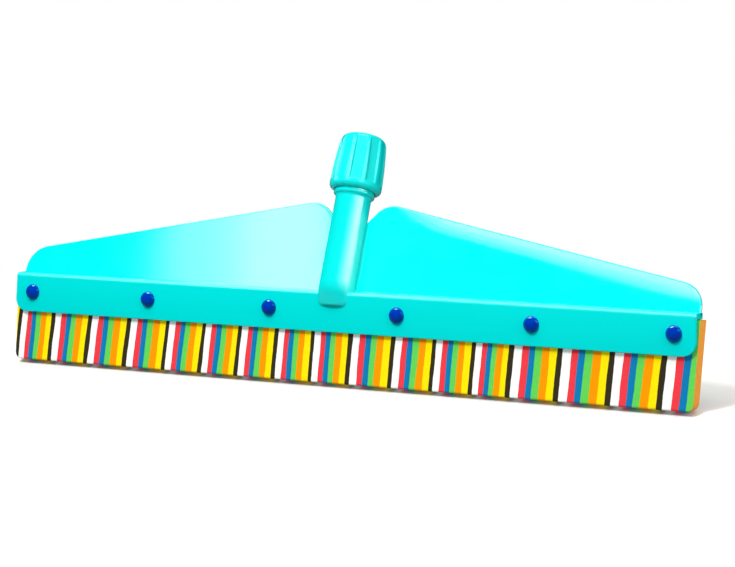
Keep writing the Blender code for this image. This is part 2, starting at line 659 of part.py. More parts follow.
def build():
    """Build every piece, then finish it with its own material."""
    clear_scene()
    parts = new_collection("floor_squeegee")
    cutters = new_collection("guides")
    holes = shank_holes("shank_holes", cutters)
    socket_axis = tilted_empty("socket_axis", SOCKET_AXIS_Y, parts)
    bpy.context.view_layer.update()
    frame = main_frame(parts, cutters, holes)
    socket = pole_socket(parts, socket_axis)
    collar = locking_collar(parts, cutters, socket_axis)
    collet = split_collet(parts, cutters, socket_axis)
    blade = foam_blade(parts, holes)
    strip = clamp_strip(parts, holes)
    studs = [rivet(f"rivet_{i + 1}", x, parts) for i, x in enumerate(rivet_stations())]
    caps = [rivet_cap(f"rivet_cap_{i + 1}", x, parts) for i, x in enumerate(rivet_stations())]
    bpy.context.view_layer.update()
    finish(frame, plastic("frame_plastic", TURQUOISE, MOULDED_ROUGHNESS))
    finish(socket, plastic("socket_plastic", TURQUOISE, MOULDED_ROUGHNESS))
    finish(collar, plastic("collar_plastic", TURQUOISE, MOULDED_ROUGHNESS))
    finish(strip, plastic("strip_plastic", TURQUOISE, MOULDED_ROUGHNESS))
    finish(collet, plastic("collet_plastic", NATURAL_WHITE, COLLET_ROUGHNESS))
    finish(blade, plastic("blade_foam", FOAM_ORANGE, FOAM_ROUGHNESS))
    for piece in studs + caps:
        finish(piece, plastic(piece.name + "_plastic", ROYAL_BLUE, RIVET_ROUGHNESS))


build()
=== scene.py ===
# %% [markdown]
# # A floor squeegee with a striped foam blade
# The object is a floor squeegee head: a turquoise plastic moulding with two wings and a leaning
# pole socket, a thick blade of layered foam riveted behind its flap, and a ribbed collar that
# locks the pole. The solid model comes in as a fixed frame in metres, with X along the blade,
# -Y at the front and +Z up, and every piece made here is placed in that frame by the same sizes.

# %% Load the solid model and note its box
from math import acos, asin, atan, atan2, cos, hypot, pi, radians, sin, sqrt, tan

import bmesh
import bpy
from mathutils import Matrix, Vector, noise


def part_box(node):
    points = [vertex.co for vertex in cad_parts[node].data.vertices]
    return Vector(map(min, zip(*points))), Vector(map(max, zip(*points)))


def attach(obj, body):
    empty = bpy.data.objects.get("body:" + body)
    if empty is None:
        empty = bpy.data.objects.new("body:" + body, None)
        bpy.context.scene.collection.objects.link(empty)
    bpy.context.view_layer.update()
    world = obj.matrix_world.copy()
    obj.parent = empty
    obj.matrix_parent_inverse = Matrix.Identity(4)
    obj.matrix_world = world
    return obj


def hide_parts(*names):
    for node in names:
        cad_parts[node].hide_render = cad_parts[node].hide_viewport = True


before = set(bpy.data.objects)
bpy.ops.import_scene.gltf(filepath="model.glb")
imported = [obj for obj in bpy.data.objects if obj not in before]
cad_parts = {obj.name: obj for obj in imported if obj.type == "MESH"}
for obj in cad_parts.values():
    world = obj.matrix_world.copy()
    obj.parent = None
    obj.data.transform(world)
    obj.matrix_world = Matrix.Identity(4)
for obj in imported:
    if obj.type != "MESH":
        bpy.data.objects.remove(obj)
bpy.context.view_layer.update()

MM = 0.001


for name in ("main_frame", "pole_socket", "foam_blade", "locking_collar"):
    low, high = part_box(name)
    print(name, "measures", [round((b - a) / MM, 1) for a, b in zip(low, high)], "mm")

# %% [markdown]
# ## The camera
# The photograph looks from a little above the flap's right-hand end, so the blade runs back to the
# left and gets smaller there. A camera can be aimed by its three axes: each column of its matrix
# is one axis, and the last column is its place. A long lens keeps the blade from curving away.

# %% Place the camera
CAMERA_PLACE = (0.68769, -1.29529, 0.14123)
CAMERA_RIGHT = (0.88744, 0.4599, 0.03081)
CAMERA_UP = (-0.05272, 0.03486, 0.998)
CAMERA_BACK = (0.45791, -0.88729, 0.05519)
SENSOR_WIDTH, LENS = 36.0, 120.66

scene = bpy.context.scene


def put(name, data):
    """A new object with this data, linked into the scene."""
    item = bpy.data.objects.new(name, data)
    scene.collection.objects.link(item)
    return item


camera_data = bpy.data.cameras.new("photo_camera")
camera_data.sensor_width = SENSOR_WIDTH
camera_data.lens = LENS
camera = put("photo_camera", camera_data)
columns = (CAMERA_RIGHT, CAMERA_UP, CAMERA_BACK, CAMERA_PLACE)
camera.matrix_world = Matrix([[column[row] for column in columns] for row in range(3)] + [[0, 0, 0, 1]])
scene.camera = camera
print("camera distance", round(Vector(CAMERA_PLACE).length, 3), "m")

# %% [markdown]
# ## Studio light
# Product photographs of glossy plastic are lit by a few large soft sources, because gloss shows
# the source itself. What a source does to the colour and how it shows in the gloss are set apart
# here: a lamp named for a softbox, panel, fill or bounce lights the colour, and a lamp named for a
# gloss or a strip shows in the shine alone. The main softbox is high in front, a little to the left,
# and throws the soft shadow back. An overhead, a right and a dim back panel fill in. Each gloss lamp
# draws one highlight: on the moulding's right-hand edges, on the collar's ribs and flats, or the
# spots on the rivets.

# %% Set the lamps
scene.view_settings.view_transform = "Standard"
AIM = Vector((0.0, 0.0, 0.06))


def towards(azimuth, elevation):
    """A direction; the azimuth runs from the front (-Y) towards +X, both in degrees."""
    turn, rise = radians(azimuth), radians(elevation)
    return Vector((sin(turn) * cos(rise), -cos(turn) * cos(rise), sin(rise)))


def lamp(name, direction, distance, width, height, radiance, shows_in, roll=0.0):
    """An area lamp that faces the object and shows in the "gloss" or the "colour" alone."""
    data = bpy.data.lights.new(name, "AREA")
    data.shape = "RECTANGLE"
    data.size, data.size_y = width, height
    data.energy = radiance * width * height * pi  # so that its face looks this bright
    item = put(name, data)
    item.location = AIM + direction * distance
    facing = direction.to_track_quat("Z", "Y").to_matrix()
    item.rotation_euler = (facing @ Matrix.Rotation(radians(roll), 3, "Z")).to_euler()
    item.visible_camera = False
    item.visible_diffuse = shows_in == "colour"
    item.visible_glossy = shows_in == "gloss"
    print(name, "power", round(data.energy, 2), "W")
    return item


# Each line: name, direction, distance, width, height, brightness, where it shows, and a roll.
lamp("main_softbox", towards(-9.8, 42.0), 1.5, 0.30, 0.30, 58.0, "colour")
lamp("overhead_panel", towards(5.0, 62.0), 1.3, 1.5, 0.7, 2.3, "colour")
lamp("right_panel", towards(81.0, 18.0), 1.3, 1.16, 0.5, 2.4, "colour")
lamp("back_panel", towards(180.0, 45.0), 1.4, 1.6, 0.7, 1.2, "colour")
small_lamps = [lamp("small_overhead_gloss", towards(27.0, 60.0), 1.4, 0.34, 0.34, 16.0, "gloss")]
plain_lamps = [lamp("right_gloss", towards(82.0, 19.5), 1.3, 2.2, 0.26, 12.0, "gloss", roll=-19.0)]
collar_lamps = [lamp("collar_gloss_left", towards(-88.0, 28.0), 1.3, 0.45, 0.40, 5.0, "gloss"),
                lamp("collar_gloss_middle", towards(-14.0, 42.0), 1.3, 0.42, 0.30, 6.0, "gloss"),
                lamp("collar_gloss_right", towards(57.0, 34.0), 1.3, 0.40, 0.30, 5.0, "gloss")]
rivet_lamps = [lamp("rivet_gloss_above", towards(-130.0, 66.0), 1.25, 0.55, 0.55, 27.0, "gloss"),
               lamp("rivet_gloss_right", towards(88.0, 36.0), 1.3, 0.30, 0.30, 9.0, "gloss")]
end_lamps = [lamp("blade_end_fill", towards(112.0, 14.0), 1.3, 0.5, 0.5, 3.2, "colour")]
under_lamps = [lamp("table_bounce", towards(20.0, -50.0), 0.8, 1.2, 0.4, 1.5, "colour")]

# %% [markdown]
# ### Feathered lamps for the wings and the socket
# The sheen on a wing has a soft border, because a softbox is bright in its middle and dies out
# towards its rim. An area lamp has a hard border, so each of these is a stack of lamps that share
# one side and reach less far each time; where they overlap they add up. One stack draws the sheen
# on the left wing and is rolled, so that the border of the sheen stands upright in the picture.
# Another draws the pale line along the wings' upper edges, and a small lamp carries the sheen over
# the fold below the left wing. The third draws the streak down the socket, which grows slowly from
# the left and ends sooner on the right, and a broad dim lamp below it lets the streak fade out over
# the nose.

# %% Set the feathered lamps that only the moulding shows
DISTANCE, GAP = 1.3, 0.01
STRIP_RIGHT, STRIP_ELEVATION, STRIP_ROLL, STRIP_HEIGHT = -31.8, 27.0, 23.0, 0.7
STRIP_STEPS = ((-43.5, 0.7), (-42.7, 1.4), (-42.0, 1.7), (-41.4, 1.9), (-39.7, 0.8), (-38.3, 1.7),
               (-37.6, 1.8), (-36.9, 2.0), (-36.3, 0.5))
OVERHEAD_TOP, OVERHEAD_AZIMUTH, OVERHEAD_WIDTH = 75.0, -19.0, 1.56
OVERHEAD_STEPS = ((39.5, 2.9), (44.5, 3.1), (49.5, 4.2))


def stack(name, steps, shared, roll, shape):
    """Lamps that share a side; shape gives direction, width and height from middle and reach."""
    made = []
    for number, (edge, radiance) in enumerate(steps):
        reach = 2 * DISTANCE * tan(radians((shared - edge) / 2))
        direction, width, height = shape((edge + shared) / 2, reach)
        made.append(lamp(f"{name}_{number + 1}", direction, DISTANCE + GAP * number, width, height,
                         radiance, "gloss", roll))
    return made


def strip_shape(middle, reach):
    width = reach * cos(radians(STRIP_ELEVATION)) * cos(radians(STRIP_ROLL))
    return towards(middle, STRIP_ELEVATION), width, STRIP_HEIGHT


def overhead_shape(middle, reach):
    return towards(OVERHEAD_AZIMUTH, middle), OVERHEAD_WIDTH, reach


wing_lamps = stack("left_strip", STRIP_STEPS, STRIP_RIGHT, STRIP_ROLL, strip_shape)
wing_lamps += stack("overhead_gloss", OVERHEAD_STEPS, OVERHEAD_TOP, 0.0, overhead_shape)
wing_lamps.append(lamp("fold_gloss", towards(-92.0, 60.0), DISTANCE, 0.65, 0.26, 9.0, "gloss"))

# %% Set the feathered lamps that only the socket shows, and a low one for its nose
TUBE_RIGHT, TUBE_HEIGHT, TUBE_ROLL = 101.0, 0.20, -18.0
TUBE_STEPS = ((20.0, 1.6), (34.0, 2.6), (47.0, 4.0), (60.0, 4.5), (72.0, 2.8))
WIDEST_MIDDLE = (TUBE_STEPS[0][0] + TUBE_RIGHT) / 2
WIDEST_ELEVATION, ELEVATION_FALL = 26.6, 0.29


def tube_shape(middle, reach):
    elevation = WIDEST_ELEVATION - ELEVATION_FALL * (middle - WIDEST_MIDDLE)
    return towards(middle, elevation), reach, TUBE_HEIGHT


tube_lamps = stack("tube_gloss", TUBE_STEPS, TUBE_RIGHT, TUBE_ROLL, tube_shape)
tube_lamps.append(lamp("nose_gloss", towards(66.0, 11.0), DISTANCE, 1.8, 0.34, 1.6, "gloss", TUBE_ROLL))

# %% [markdown]
# ## Node helpers
# A finish is a small tree of nodes. These helpers add a node, tell the camera's view from every
# other ray and fade a value between two limits, so each finish below reads as one short list.

# %% Helpers that start a tree and add a node


def new_finish(name):
    """A material with an empty tree, its Principled shader and its output."""
    finish = bpy.data.materials.new(name)
    finish.use_nodes = True
    tree = finish.node_tree
    tree.nodes.clear()
    shader = tree.nodes.new("ShaderNodeBsdfPrincipled")
    output = tree.nodes.new("ShaderNodeOutputMaterial")
    tree.links.new(shader.outputs["BSDF"], output.inputs["Surface"])
    return finish, tree, shader


def add_node(tree, kind, **settings):
    """A node with its plain settings; a setting written as in_NAME sets an input."""
    node = tree.nodes.new(kind)
    for key, value in settings.items():
        if key.startswith("in_"):
            node.inputs[key[3:].replace("_", " ")].default_value = value
        else:
            setattr(node, key, value)
    return node


def by_camera(tree, unseen, seen):
    """One shader for what the camera sees, and another for every other ray."""
    choose = add_node(tree, "ShaderNodeMixShader")
    tree.links.new(add_node(tree, "ShaderNodeLightPath").outputs["Is Camera Ray"], choose.inputs["Fac"])
    tree.links.new(unseen, choose.inputs[1])
    tree.links.new(seen, choose.inputs[2])
    return choose.outputs["Shader"]


def place_along(tree):
    """The object's own X, Y and Z in metres as three sockets."""
    where = add_node(tree, "ShaderNodeTexCoord")
    parts = add_node(tree, "ShaderNodeSeparateXYZ")
    tree.links.new(where.outputs["Object"], parts.inputs["Vector"])
    return parts.outputs["X"], parts.outputs["Y"], parts.outputs["Z"]


print("tree helpers ready")

# %% Helpers for noise, fades and relief


def grain(tree, scale, detail=2.0, roughness=0.5, stretch=(1, 1, 1)):
    """Noise in the object's own metres; scale is in features per metre."""
    where = add_node(tree, "ShaderNodeTexCoord")
    stretched = add_node(tree, "ShaderNodeMapping", in_Scale=stretch)
    cloud = add_node(tree, "ShaderNodeTexNoise", in_Scale=scale, in_Detail=detail, in_Roughness=roughness)
    tree.links.new(where.outputs["Object"], stretched.inputs["Vector"])
    tree.links.new(stretched.outputs["Vector"], cloud.inputs["Vector"])
    return cloud.outputs["Fac"]


def fade(tree, source, low, high, to_low=0.0, to_high=1.0):
    """Map a value between two limits, clamped; from 0 to 1 unless told otherwise."""
    ramp = add_node(tree, "ShaderNodeMapRange", clamp=True)
    for key, value in (("From Min", low), ("From Max", high), ("To Min", to_low), ("To Max", to_high)):
        ramp.inputs[key].default_value = value
    tree.links.new(source, ramp.inputs["Value"])
    return ramp.outputs["Result"]


def sums(tree, operation, first, second):
    """Arithmetic on two sockets, or on a socket and a number."""
    node = add_node(tree, "ShaderNodeMath", operation=operation)
    for index, value in enumerate((first, second)):
        if isinstance(value, (int, float)):
            node.inputs[index].default_value = value
        else:
            tree.links.new(value, node.inputs[index])
    return node.outputs["Value"]


def tinted(tree, share, first, second):
    """A colour between two colours."""
    blend = add_node(tree, "ShaderNodeMix", data_type="RGBA")
    colours = [socket for socket in blend.inputs if socket.type == "RGBA"]
    colours[0].default_value = first
    colours[1].default_value = second
    tree.links.new(share, blend.inputs["Factor"])
    return [socket for socket in blend.outputs if socket.type == "RGBA"][0]


def relief(tree, height, depth, below=None):
    """A bump of a real depth in metres, on top of another one where there is one."""
    bump = add_node(tree, "ShaderNodeBump", in_Strength=1.0, in_Distance=depth)
    tree.links.new(height, bump.inputs["Height"])
    if below is not None:
        tree.links.new(below, bump.inputs["Normal"])
    return bump.outputs["Normal"]


def shaded(colour, share):
    return tuple(channel * share for channel in colour[:3]) + (1.0,)


def feed(tree, shader, **sources):
    """Link sockets to the shader's inputs that have their names."""
    for key, source in sources.items():
        tree.links.new(source, shader.inputs[key.replace("_", " ")])


print("texture helpers ready")

# %% [markdown]
# ## The room
# The room is an even pale grey that only lights and never shows in the gloss, so the plastic stays
# deep in colour. The camera sees a plain white backdrop in its place.

# %% Set the room and the white backdrop
WHITE = (1.0, 1.0, 1.0, 1.0)
ROOM_STRENGTH = 0.34

world = bpy.data.worlds.new("studio")
world.use_nodes = True
scene.world = world
sky = world.node_tree
sky.nodes.clear()
room = add_node(sky, "ShaderNodeBackground", in_Color=WHITE, in_Strength=ROOM_STRENGTH)
paper = add_node(sky, "ShaderNodeBackground", in_Color=WHITE, in_Strength=1.0)
shown = by_camera(sky, room.outputs["Background"], paper.outputs["Background"])
sky.links.new(shown, add_node(sky, "ShaderNodeOutputWorld").inputs["Surface"])
world.cycles_visibility.glossy = False
print("room strength", ROOM_STRENGTH)

# %% [markdown]
# ## The floor
# The head stands on its blade's rear lower edge and leans back, so seen from the blade the floor
# drops towards the front and a thin dark wedge opens under the blade's front edge. White paper is
# laid in two flat halves that meet along that rear edge, the front one steeper than the back one.
# The camera sees the paper lifted a little to white by a faint warm glow, and that warmth is a
# painted tint in the paper's shadows. The glow is left off under the blade, which paints the wedge
# there darker as shade. Every other ray sees the paper darker, so the paper shows the head's shadow
# but sends little light up.
# The glow that real paper throws at the blade's underside comes from the table bounce lamp, and it
# is what tints the wedge with the colours of the foam.

# %% Lay the floor under the rear lower edge
FRONT_TILT, BACK_TILT = radians(20.5), radians(7.0)
BLADE_REAR = 5.0 * MM
FLOOR_FRONT, FLOOR_BACK, FLOOR_SIDE = -1.6, 0.3, 2.0


def floor_height(y):
    return (y - BLADE_REAR) * tan(FRONT_TILT if y < BLADE_REAR else BACK_TILT)


corners = [(x, y, floor_height(y)) for y in (FLOOR_FRONT, BLADE_REAR, FLOOR_BACK)
           for x in (-FLOOR_SIDE, FLOOR_SIDE)]
floor_mesh = bpy.data.meshes.new("floor")
floor_mesh.from_pydata(corners, [], [(0, 1, 3, 2), (2, 3, 5, 4)])
floor = put("floor", floor_mesh)
print("floor tilt", round(FRONT_TILT * 180 / pi, 1), "degrees in front")

# %% Finish the floor as white paper
PAPER_SEEN = (0.88, 0.874, 0.868, 1.0)
PAPER_UNSEEN = (0.20, 0.20, 0.20, 1.0)
# The lift whitens the paper, and its warm colour also paints a warm tint into the paper's shadows.
WHITENING_AND_WARM_SHADE = (0.085, 0.062, 0.048, 1.0)
BLADE_SIDE = 229.0 * MM

paper_finish = bpy.data.materials.new("white_paper")
paper_finish.use_nodes = True
tree = paper_finish.node_tree
tree.nodes.clear()
across, through = place_along(tree)[:2]
# The lift is left off under the blade, which paints shade into the wedge there.
beside = fade(tree, sums(tree, "ABSOLUTE", across, 0.0), BLADE_SIDE, BLADE_SIDE + 2.0 * MM)
outside_painted_wedge = fade(tree, sums(tree, "ABSOLUTE", through, 0.0), BLADE_REAR, BLADE_REAR + 1.0 * MM)
unseen = add_node(tree, "ShaderNodeBsdfDiffuse", in_Color=PAPER_UNSEEN)
seen = add_node(tree, "ShaderNodeBsdfDiffuse", in_Color=PAPER_SEEN)
lift = add_node(tree, "ShaderNodeEmission", in_Color=WHITENING_AND_WARM_SHADE)
lifted = add_node(tree, "ShaderNodeAddShader")
tree.links.new(sums(tree, "MAXIMUM", beside, outside_painted_wedge), lift.inputs["Strength"])
tree.links.new(seen.outputs["BSDF"], lifted.inputs[0])
tree.links.new(lift.outputs["Emission"], lifted.inputs[1])
shown = by_camera(tree, unseen.outputs["BSDF"], lifted.outputs["Shader"])
tree.links.new(shown, add_node(tree, "ShaderNodeOutputMaterial").inputs["Surface"])
floor_mesh.materials.append(paper_finish)
print("floor is", paper_finish.name)

# %% [markdown]
# ## Moulded plastic
# The frame, socket, collar and strip are glossy polypropylene. Such a moulding is never quite even:
# the colour drifts a little along the flow of the melt, the gloss varies in soft patches, and the
# skin has a very fine orange peel with a few hairline rubs from handling. Each of those is a noise
# of its own size, so they can be told apart when the part is looked at closely.

# %% Build one kind of moulded plastic
TURQUOISE = (0.0, 0.80, 0.765, 1.0)
ROYAL_BLUE = (0.0, 0.036, 0.40, 1.0)
NATURAL_NYLON = (0.72, 0.72, 0.67, 1.0)
PLASTIC_IOR = 1.49
SKIN_DEPTH, RUB_DEPTH = 5.0e-6, 1.5e-6
FLOW_SCALE, PATCH_SCALE, PEEL_SCALE, RUB_SCALE = 9.0, 60.0, 900.0, 260.0
FLOW_STRETCH, RUB_STRETCH = (0.35, 1.0, 1.6), (0.12, 1.0, 1.0)
USUAL_NOISE, RUB_NOISE = (0.3, 0.7), (0.62, 0.70)
COLOUR_DRIFT, GLOSS_DRIFT = (0.96, 1.03), (0.88, 1.15)
SPOT_TINT = (0.02, 0.90, 1.0, 1.0)


def flow_marks(tree, scale=FLOW_SCALE):
    """Noise drawn out along the blade, the way the melt flowed."""
    return grain(tree, scale, 3.0, 0.5, FLOW_STRETCH)


def patchy_gloss(tree, gloss):
    """A roughness that varies in soft patches."""
    patches = grain(tree, PATCH_SCALE, 2.0, 0.6)
    return fade(tree, patches, *USUAL_NOISE, *(gloss * share for share in GLOSS_DRIFT))


def fine_skin(tree, peel, below=None):
    """Orange peel, and a few hairline rubs on top of it."""
    skin = relief(tree, grain(tree, PEEL_SCALE, 2.0, 0.6), peel, below)
    rubs = fade(tree, grain(tree, RUB_SCALE, 3.0, 0.7, RUB_STRETCH), *RUB_NOISE)
    return relief(tree, rubs, RUB_DEPTH, skin)


def moulded_plastic(name, colour, gloss, peel=SKIN_DEPTH, scale=FLOW_SCALE, spot=WHITE):
    """Plastic with flow marks in its colour, patches in its gloss and a fine skin."""
    finish, tree, shader = new_finish(name)
    drift = fade(tree, flow_marks(tree, scale), *USUAL_NOISE)
    feed(tree, shader, Base_Color=tinted(tree, drift, *(shaded(colour, share) for share in COLOUR_DRIFT)),
         Roughness=patchy_gloss(tree, gloss), Normal=fine_skin(tree, peel))
    shader.inputs["IOR"].default_value = PLASTIC_IOR
    shader.inputs["Specular Tint"].default_value = spot
    return finish


collar_finish = moulded_plastic("turquoise_collar", TURQUOISE, gloss=0.20)
strip_finish = moulded_plastic("turquoise_strip", TURQUOISE, gloss=0.25)
socket_finish = moulded_plastic("turquoise_socket", TURQUOISE, gloss=0.18)
nylon_finish = moulded_plastic("natural_nylon", NATURAL_NYLON, gloss=0.35, peel=8.0e-6, scale=40.0)
rivet_finish = moulded_plastic("royal_blue_rivet", ROYAL_BLUE, gloss=0.11, peel=2.0e-6, scale=60.0,
                               spot=SPOT_TINT)
print("plastic finishes ready")

# %% [markdown]
# The frame's own finish goes a little further. Its colour is darkened towards the flap's lower edge,
# which is painted shade, with the flow marks on top. The fold is worn duller, because it is what
# knocks against skirting boards. The left wing is a little glossier than the right one, which is
# handled more. The right wing stands about a degree and a half out of line with the left one, as
# large flat mouldings do when they cool. That is far too small to change the shape, but it decides
# which lamp each wing shows, so it is a long gentle bump under the skin.

# %% Tint the frame, with painted shade towards the flap's lower edge
# The flap's colour is painted darker towards its lower edge: painted shade, with the flow marks added on
# top.
FLAP_PAINTED_SHADE, FLAP_FALL, FLOW_SWING = 0.90, (31.0 * MM, 55.0 * MM), 0.12

frame_finish, tree, shader = new_finish("turquoise_moulding")
shader.inputs["IOR"].default_value = PLASTIC_IOR
across, through, up = place_along(tree)
flap_painted_shade = fade(tree, up, *FLAP_FALL)
flow = fade(tree, flow_marks(tree), *USUAL_NOISE, -FLOW_SWING, FLOW_SWING)
painted_shade_and_flow = sums(tree, "ADD", flap_painted_shade, flow)
feed(tree, shader, Base_Color=tinted(tree, painted_shade_and_flow, shaded(TURQUOISE, FLAP_PAINTED_SHADE), TURQUOISE))
print("frame tinted from", FLAP_PAINTED_SHADE, "at the lower edge to 1.0 at the fold")

# %% Wear the fold, and warp the right wing under the skin
WING_GLOSS, LEFT_SHINE, FOLD_WEAR = 0.10, 0.03, 0.22
FOLD_DEPTH, FOLD_LOW, FOLD_HIGH = (-6.0 * MM, -3.0 * MM), (52.0 * MM, 53.5 * MM), (56.0 * MM, 57.0 * MM)
SHINE_ENDS, WARP_START = (-20.0 * MM, 20.0 * MM), 11.0 * MM
WING_WARP = -tan(radians(1.6))

in_front = fade(tree, through, *FOLD_DEPTH, 1.0, 0.0)
above_flap = fade(tree, up, *FOLD_LOW)
below_wings = fade(tree, up, *FOLD_HIGH, 1.0, 0.0)
on_fold = sums(tree, "MULTIPLY", in_front, sums(tree, "MULTIPLY", above_flap, below_wings))
worn = sums(tree, "ADD", patchy_gloss(tree, WING_GLOSS), sums(tree, "MULTIPLY", on_fold, FOLD_WEAR))
shine = fade(tree, across, *SHINE_ENDS, LEFT_SHINE, 0.0)
feed(tree, shader, Roughness=sums(tree, "SUBTRACT", worn, shine))

past_tube = sums(tree, "MAXIMUM", sums(tree, "SUBTRACT", across, WARP_START), 0.0)
warp = relief(tree, sums(tree, "MULTIPLY", past_tube, WING_WARP), 1.0)
feed(tree, shader, Normal=fine_skin(tree, SKIN_DEPTH, warp))
print("frame finish ready, warp", round(WING_WARP, 4))

# %% [markdown]
# ## Mesh helpers
# Most pieces here are rings of points joined by faces, which is what a lathe or a sweep makes too.
# Doing it one by one keeps the rows where the shape needs them, such as close together at a rounded
# edge, so that the gloss runs over the edge without a crease.

# %% Helpers that draw a path


def arc(centre, radius, start, end, points):
    """Points on an arc from one angle to another, both ends included."""
    step = (end - start) / (points - 1)
    return [(centre[0] + radius * cos(start + step * i), centre[1] + radius * sin(start + step * i))
            for i in range(points)]


def moved_in(path, distance, closed=True):
    """A counterclockwise path moved towards its inside; the ends of an open one slide along X."""
    moved, count = [], len(path)
    for i, (u, v) in enumerate(path):
        before = path[i - 1] if closed or i > 0 else None
        after = path[(i + 1) % count] if closed or i < count - 1 else None
        sides = []
        for a, b in ((before, (u, v)), ((u, v), after)):
            size = hypot(b[0] - a[0], b[1] - a[1]) if a and b else 0.0
            if size > 1e-9:
                sides.append(((a[1] - b[1]) / size, (b[0] - a[0]) / size))
        if len(sides) == 2:
            (p, q), (r, s) = sides
            share = distance / (1 + p * r + q * s)
            moved.append((u + share * (p + r), v + share * (q + s)))
        else:
            moved.append((u + distance * (1 if sides[0][0] > 0 else -1), v))
    return moved


def between(first, last, share):
    """The point that lies a share of the way from one point to another."""
    return tuple(a + (b - a) * share for a, b in zip(first, last))


def evenly(first, last, count):
    """Values from one to another in equal steps, both ends included."""
    return [first + (last - first) * step / count for step in range(count + 1)]


def mirrored(path):
    """A path's mirror image across the blade's middle, run the other way."""
    return [(-u, v) for u, v in reversed(path)]


def around(radius, angle, height):
    """A point at a radius and an angle round Z, which runs from the front towards +X."""
    return Vector((radius * sin(angle), -radius * cos(angle), height))


print("path helpers ready")

# %% Helpers that make a shell and a piece


def loft(rings, caps=True):
    """Join rings of points by faces and clean the shell."""
    work = bmesh.new()
    rows = [[work.verts.new(point) for point in ring] for ring in rings]
    for first, second in zip(rows, rows[1:]):
        for i in range(len(first)):
            n = (i + 1) % len(first)
            work.faces.new((first[i], first[n], second[n], second[i]))
    if caps:
        work.faces.new(rows[0][::-1])
        work.faces.new(rows[-1])
    bmesh.ops.remove_doubles(work, verts=work.verts, dist=1e-6)
    bmesh.ops.dissolve_degenerate(work, dist=1e-6, edges=work.edges)
    bmesh.ops.recalc_face_normals(work, faces=work.faces)
    return work


def plate(path, low, high, radius, place, closed=True, steps=5):
    """A flat plate with rounded edges; place(u, v, w) turns plate sizes into a point."""
    area = sum(a[0] * b[1] - b[0] * a[1] for a, b in zip(path, path[1:] + path[:1]))
    if area < 0:
        path = path[::-1]
    turns = evenly(0.0, pi / 2, steps - 1)
    levels = [(turn, low + radius * (1 - cos(turn))) for turn in turns]
    levels += [(turn, high - radius * (1 - cos(turn))) for turn in reversed(turns)]
    return loft([[place(u, v, w) for u, v in moved_in(path, radius * (1 - sin(turn)), closed)]
                 for turn, w in levels])


def turned(profile, segments, matrix, closed=False):
    """A lathe: (radius, height) points swept round the matrix's own Z."""
    points = profile + profile[:1] if closed else profile
    return loft([[matrix @ around(r, 2 * pi * i / segments, h) for i in range(segments)]
                 for r, h in points], caps=False)


def piece(name, shells, finish, sharp=38.0):
    """One object out of its shells, shaded smooth apart from its sharp edges."""
    mesh = bpy.data.meshes.new(name)
    whole = bmesh.new()
    for shell in shells:
        part = bpy.data.meshes.new("shell")
        shell.to_mesh(part)
        shell.free()
        whole.from_mesh(part)
        bpy.data.meshes.remove(part)
    whole.to_mesh(mesh)
    whole.free()
    mesh.materials.append(finish)
    mesh.shade_smooth()
    mesh.set_sharp_from_angle(angle=radians(sharp))
    made = put(name, mesh)
    weigh = made.modifiers.new("Flat faces stay flat", "WEIGHTED_NORMAL")
    weigh.weight = 90
    weigh.keep_sharp = True
    print(name, "has", len(mesh.polygons), "faces")
    return made


print("shell helpers ready")

# %% [markdown]
# ## The moulded frame
# On the real object the flap, ledge, wings, ribs and socket are one moulding. The solid model
# splits the socket off so that its bore stays open for a pole, so the socket is a piece of its own
# here too, run into the wings and the ledge without a gap. It could all be sculpted, but a
# moulding is drawn from straight walls and even radii, so it is made of sections: a rounded plate
# for the flap, a swept ledge, a crowned panel for the wings and a turned socket.

# %% Sizes of the moulding
LEAN = radians(18.2)
FOLD_HEIGHT = 55.3 * MM
FLAP_FRONT, FLAP_BACK = -7.8 * MM, -5.3 * MM
FLAP_BOTTOM = 30.8 * MM
FLAP_HALF_TOP = 227.6 * MM
FLAP_DRAFT = 0.7 / 24.5
FLAP_CORNER = 8.0 * MM
FLAP_EDGE = 0.6 * MM
FOLD_RADIUS = 2.2 * MM
LEDGE_UNDERSIDE = 51.7 * MM
LEDGE_FILLET = 0.7 * MM
SOCKET_AXIS = -2.6 * MM
WING_WALL = 2.5 * MM
WING_FRONT = SOCKET_AXIS + 2.9 * MM / cos(LEAN)
LEDGE_REAR = WING_FRONT + WING_WALL / cos(LEAN) + 0.3 * MM
SEAM_HEIGHT = FOLD_HEIGHT - FOLD_RADIUS


def leaning(y):
    """The place of a part that stands on the fold and leans back with the socket."""
    return Matrix.Translation((0.0, y, FOLD_HEIGHT)) @ Matrix.Rotation(-LEAN, 4, "X")


def bar_end(z):
    """Half the length of the flap and ledge at a height."""
    return FLAP_HALF_TOP + (FOLD_HEIGHT - z) * FLAP_DRAFT


print("wing plane starts at y", round(WING_FRONT / MM, 2), "mm, ledge ends at", round(LEDGE_REAR / MM, 2))

# %% Make the flap as a rounded plate
draft_angle = atan(FLAP_DRAFT)
corner_x = bar_end(FLAP_BOTTOM) - FLAP_CORNER * (1 + sin(draft_angle)) / cos(draft_angle)
right_corner = arc((corner_x, FLAP_BOTTOM + FLAP_CORNER), FLAP_CORNER, -pi / 2, draft_angle, 25)
seam_x = bar_end(SEAM_HEIGHT)
right_half = right_corner + [(seam_x, SEAM_HEIGHT)]
flap_path = mirrored(right_half) + right_half


def upright(u, v, w):
    """Stands a plate up along the blade, with its thickness along Y."""
    return Vector((u, w, v))


flap_shell = plate(flap_path, FLAP_FRONT, FLAP_BACK, FLAP_EDGE, upright, closed=False, steps=6)
print("flap shell", len(flap_shell.faces), "faces")

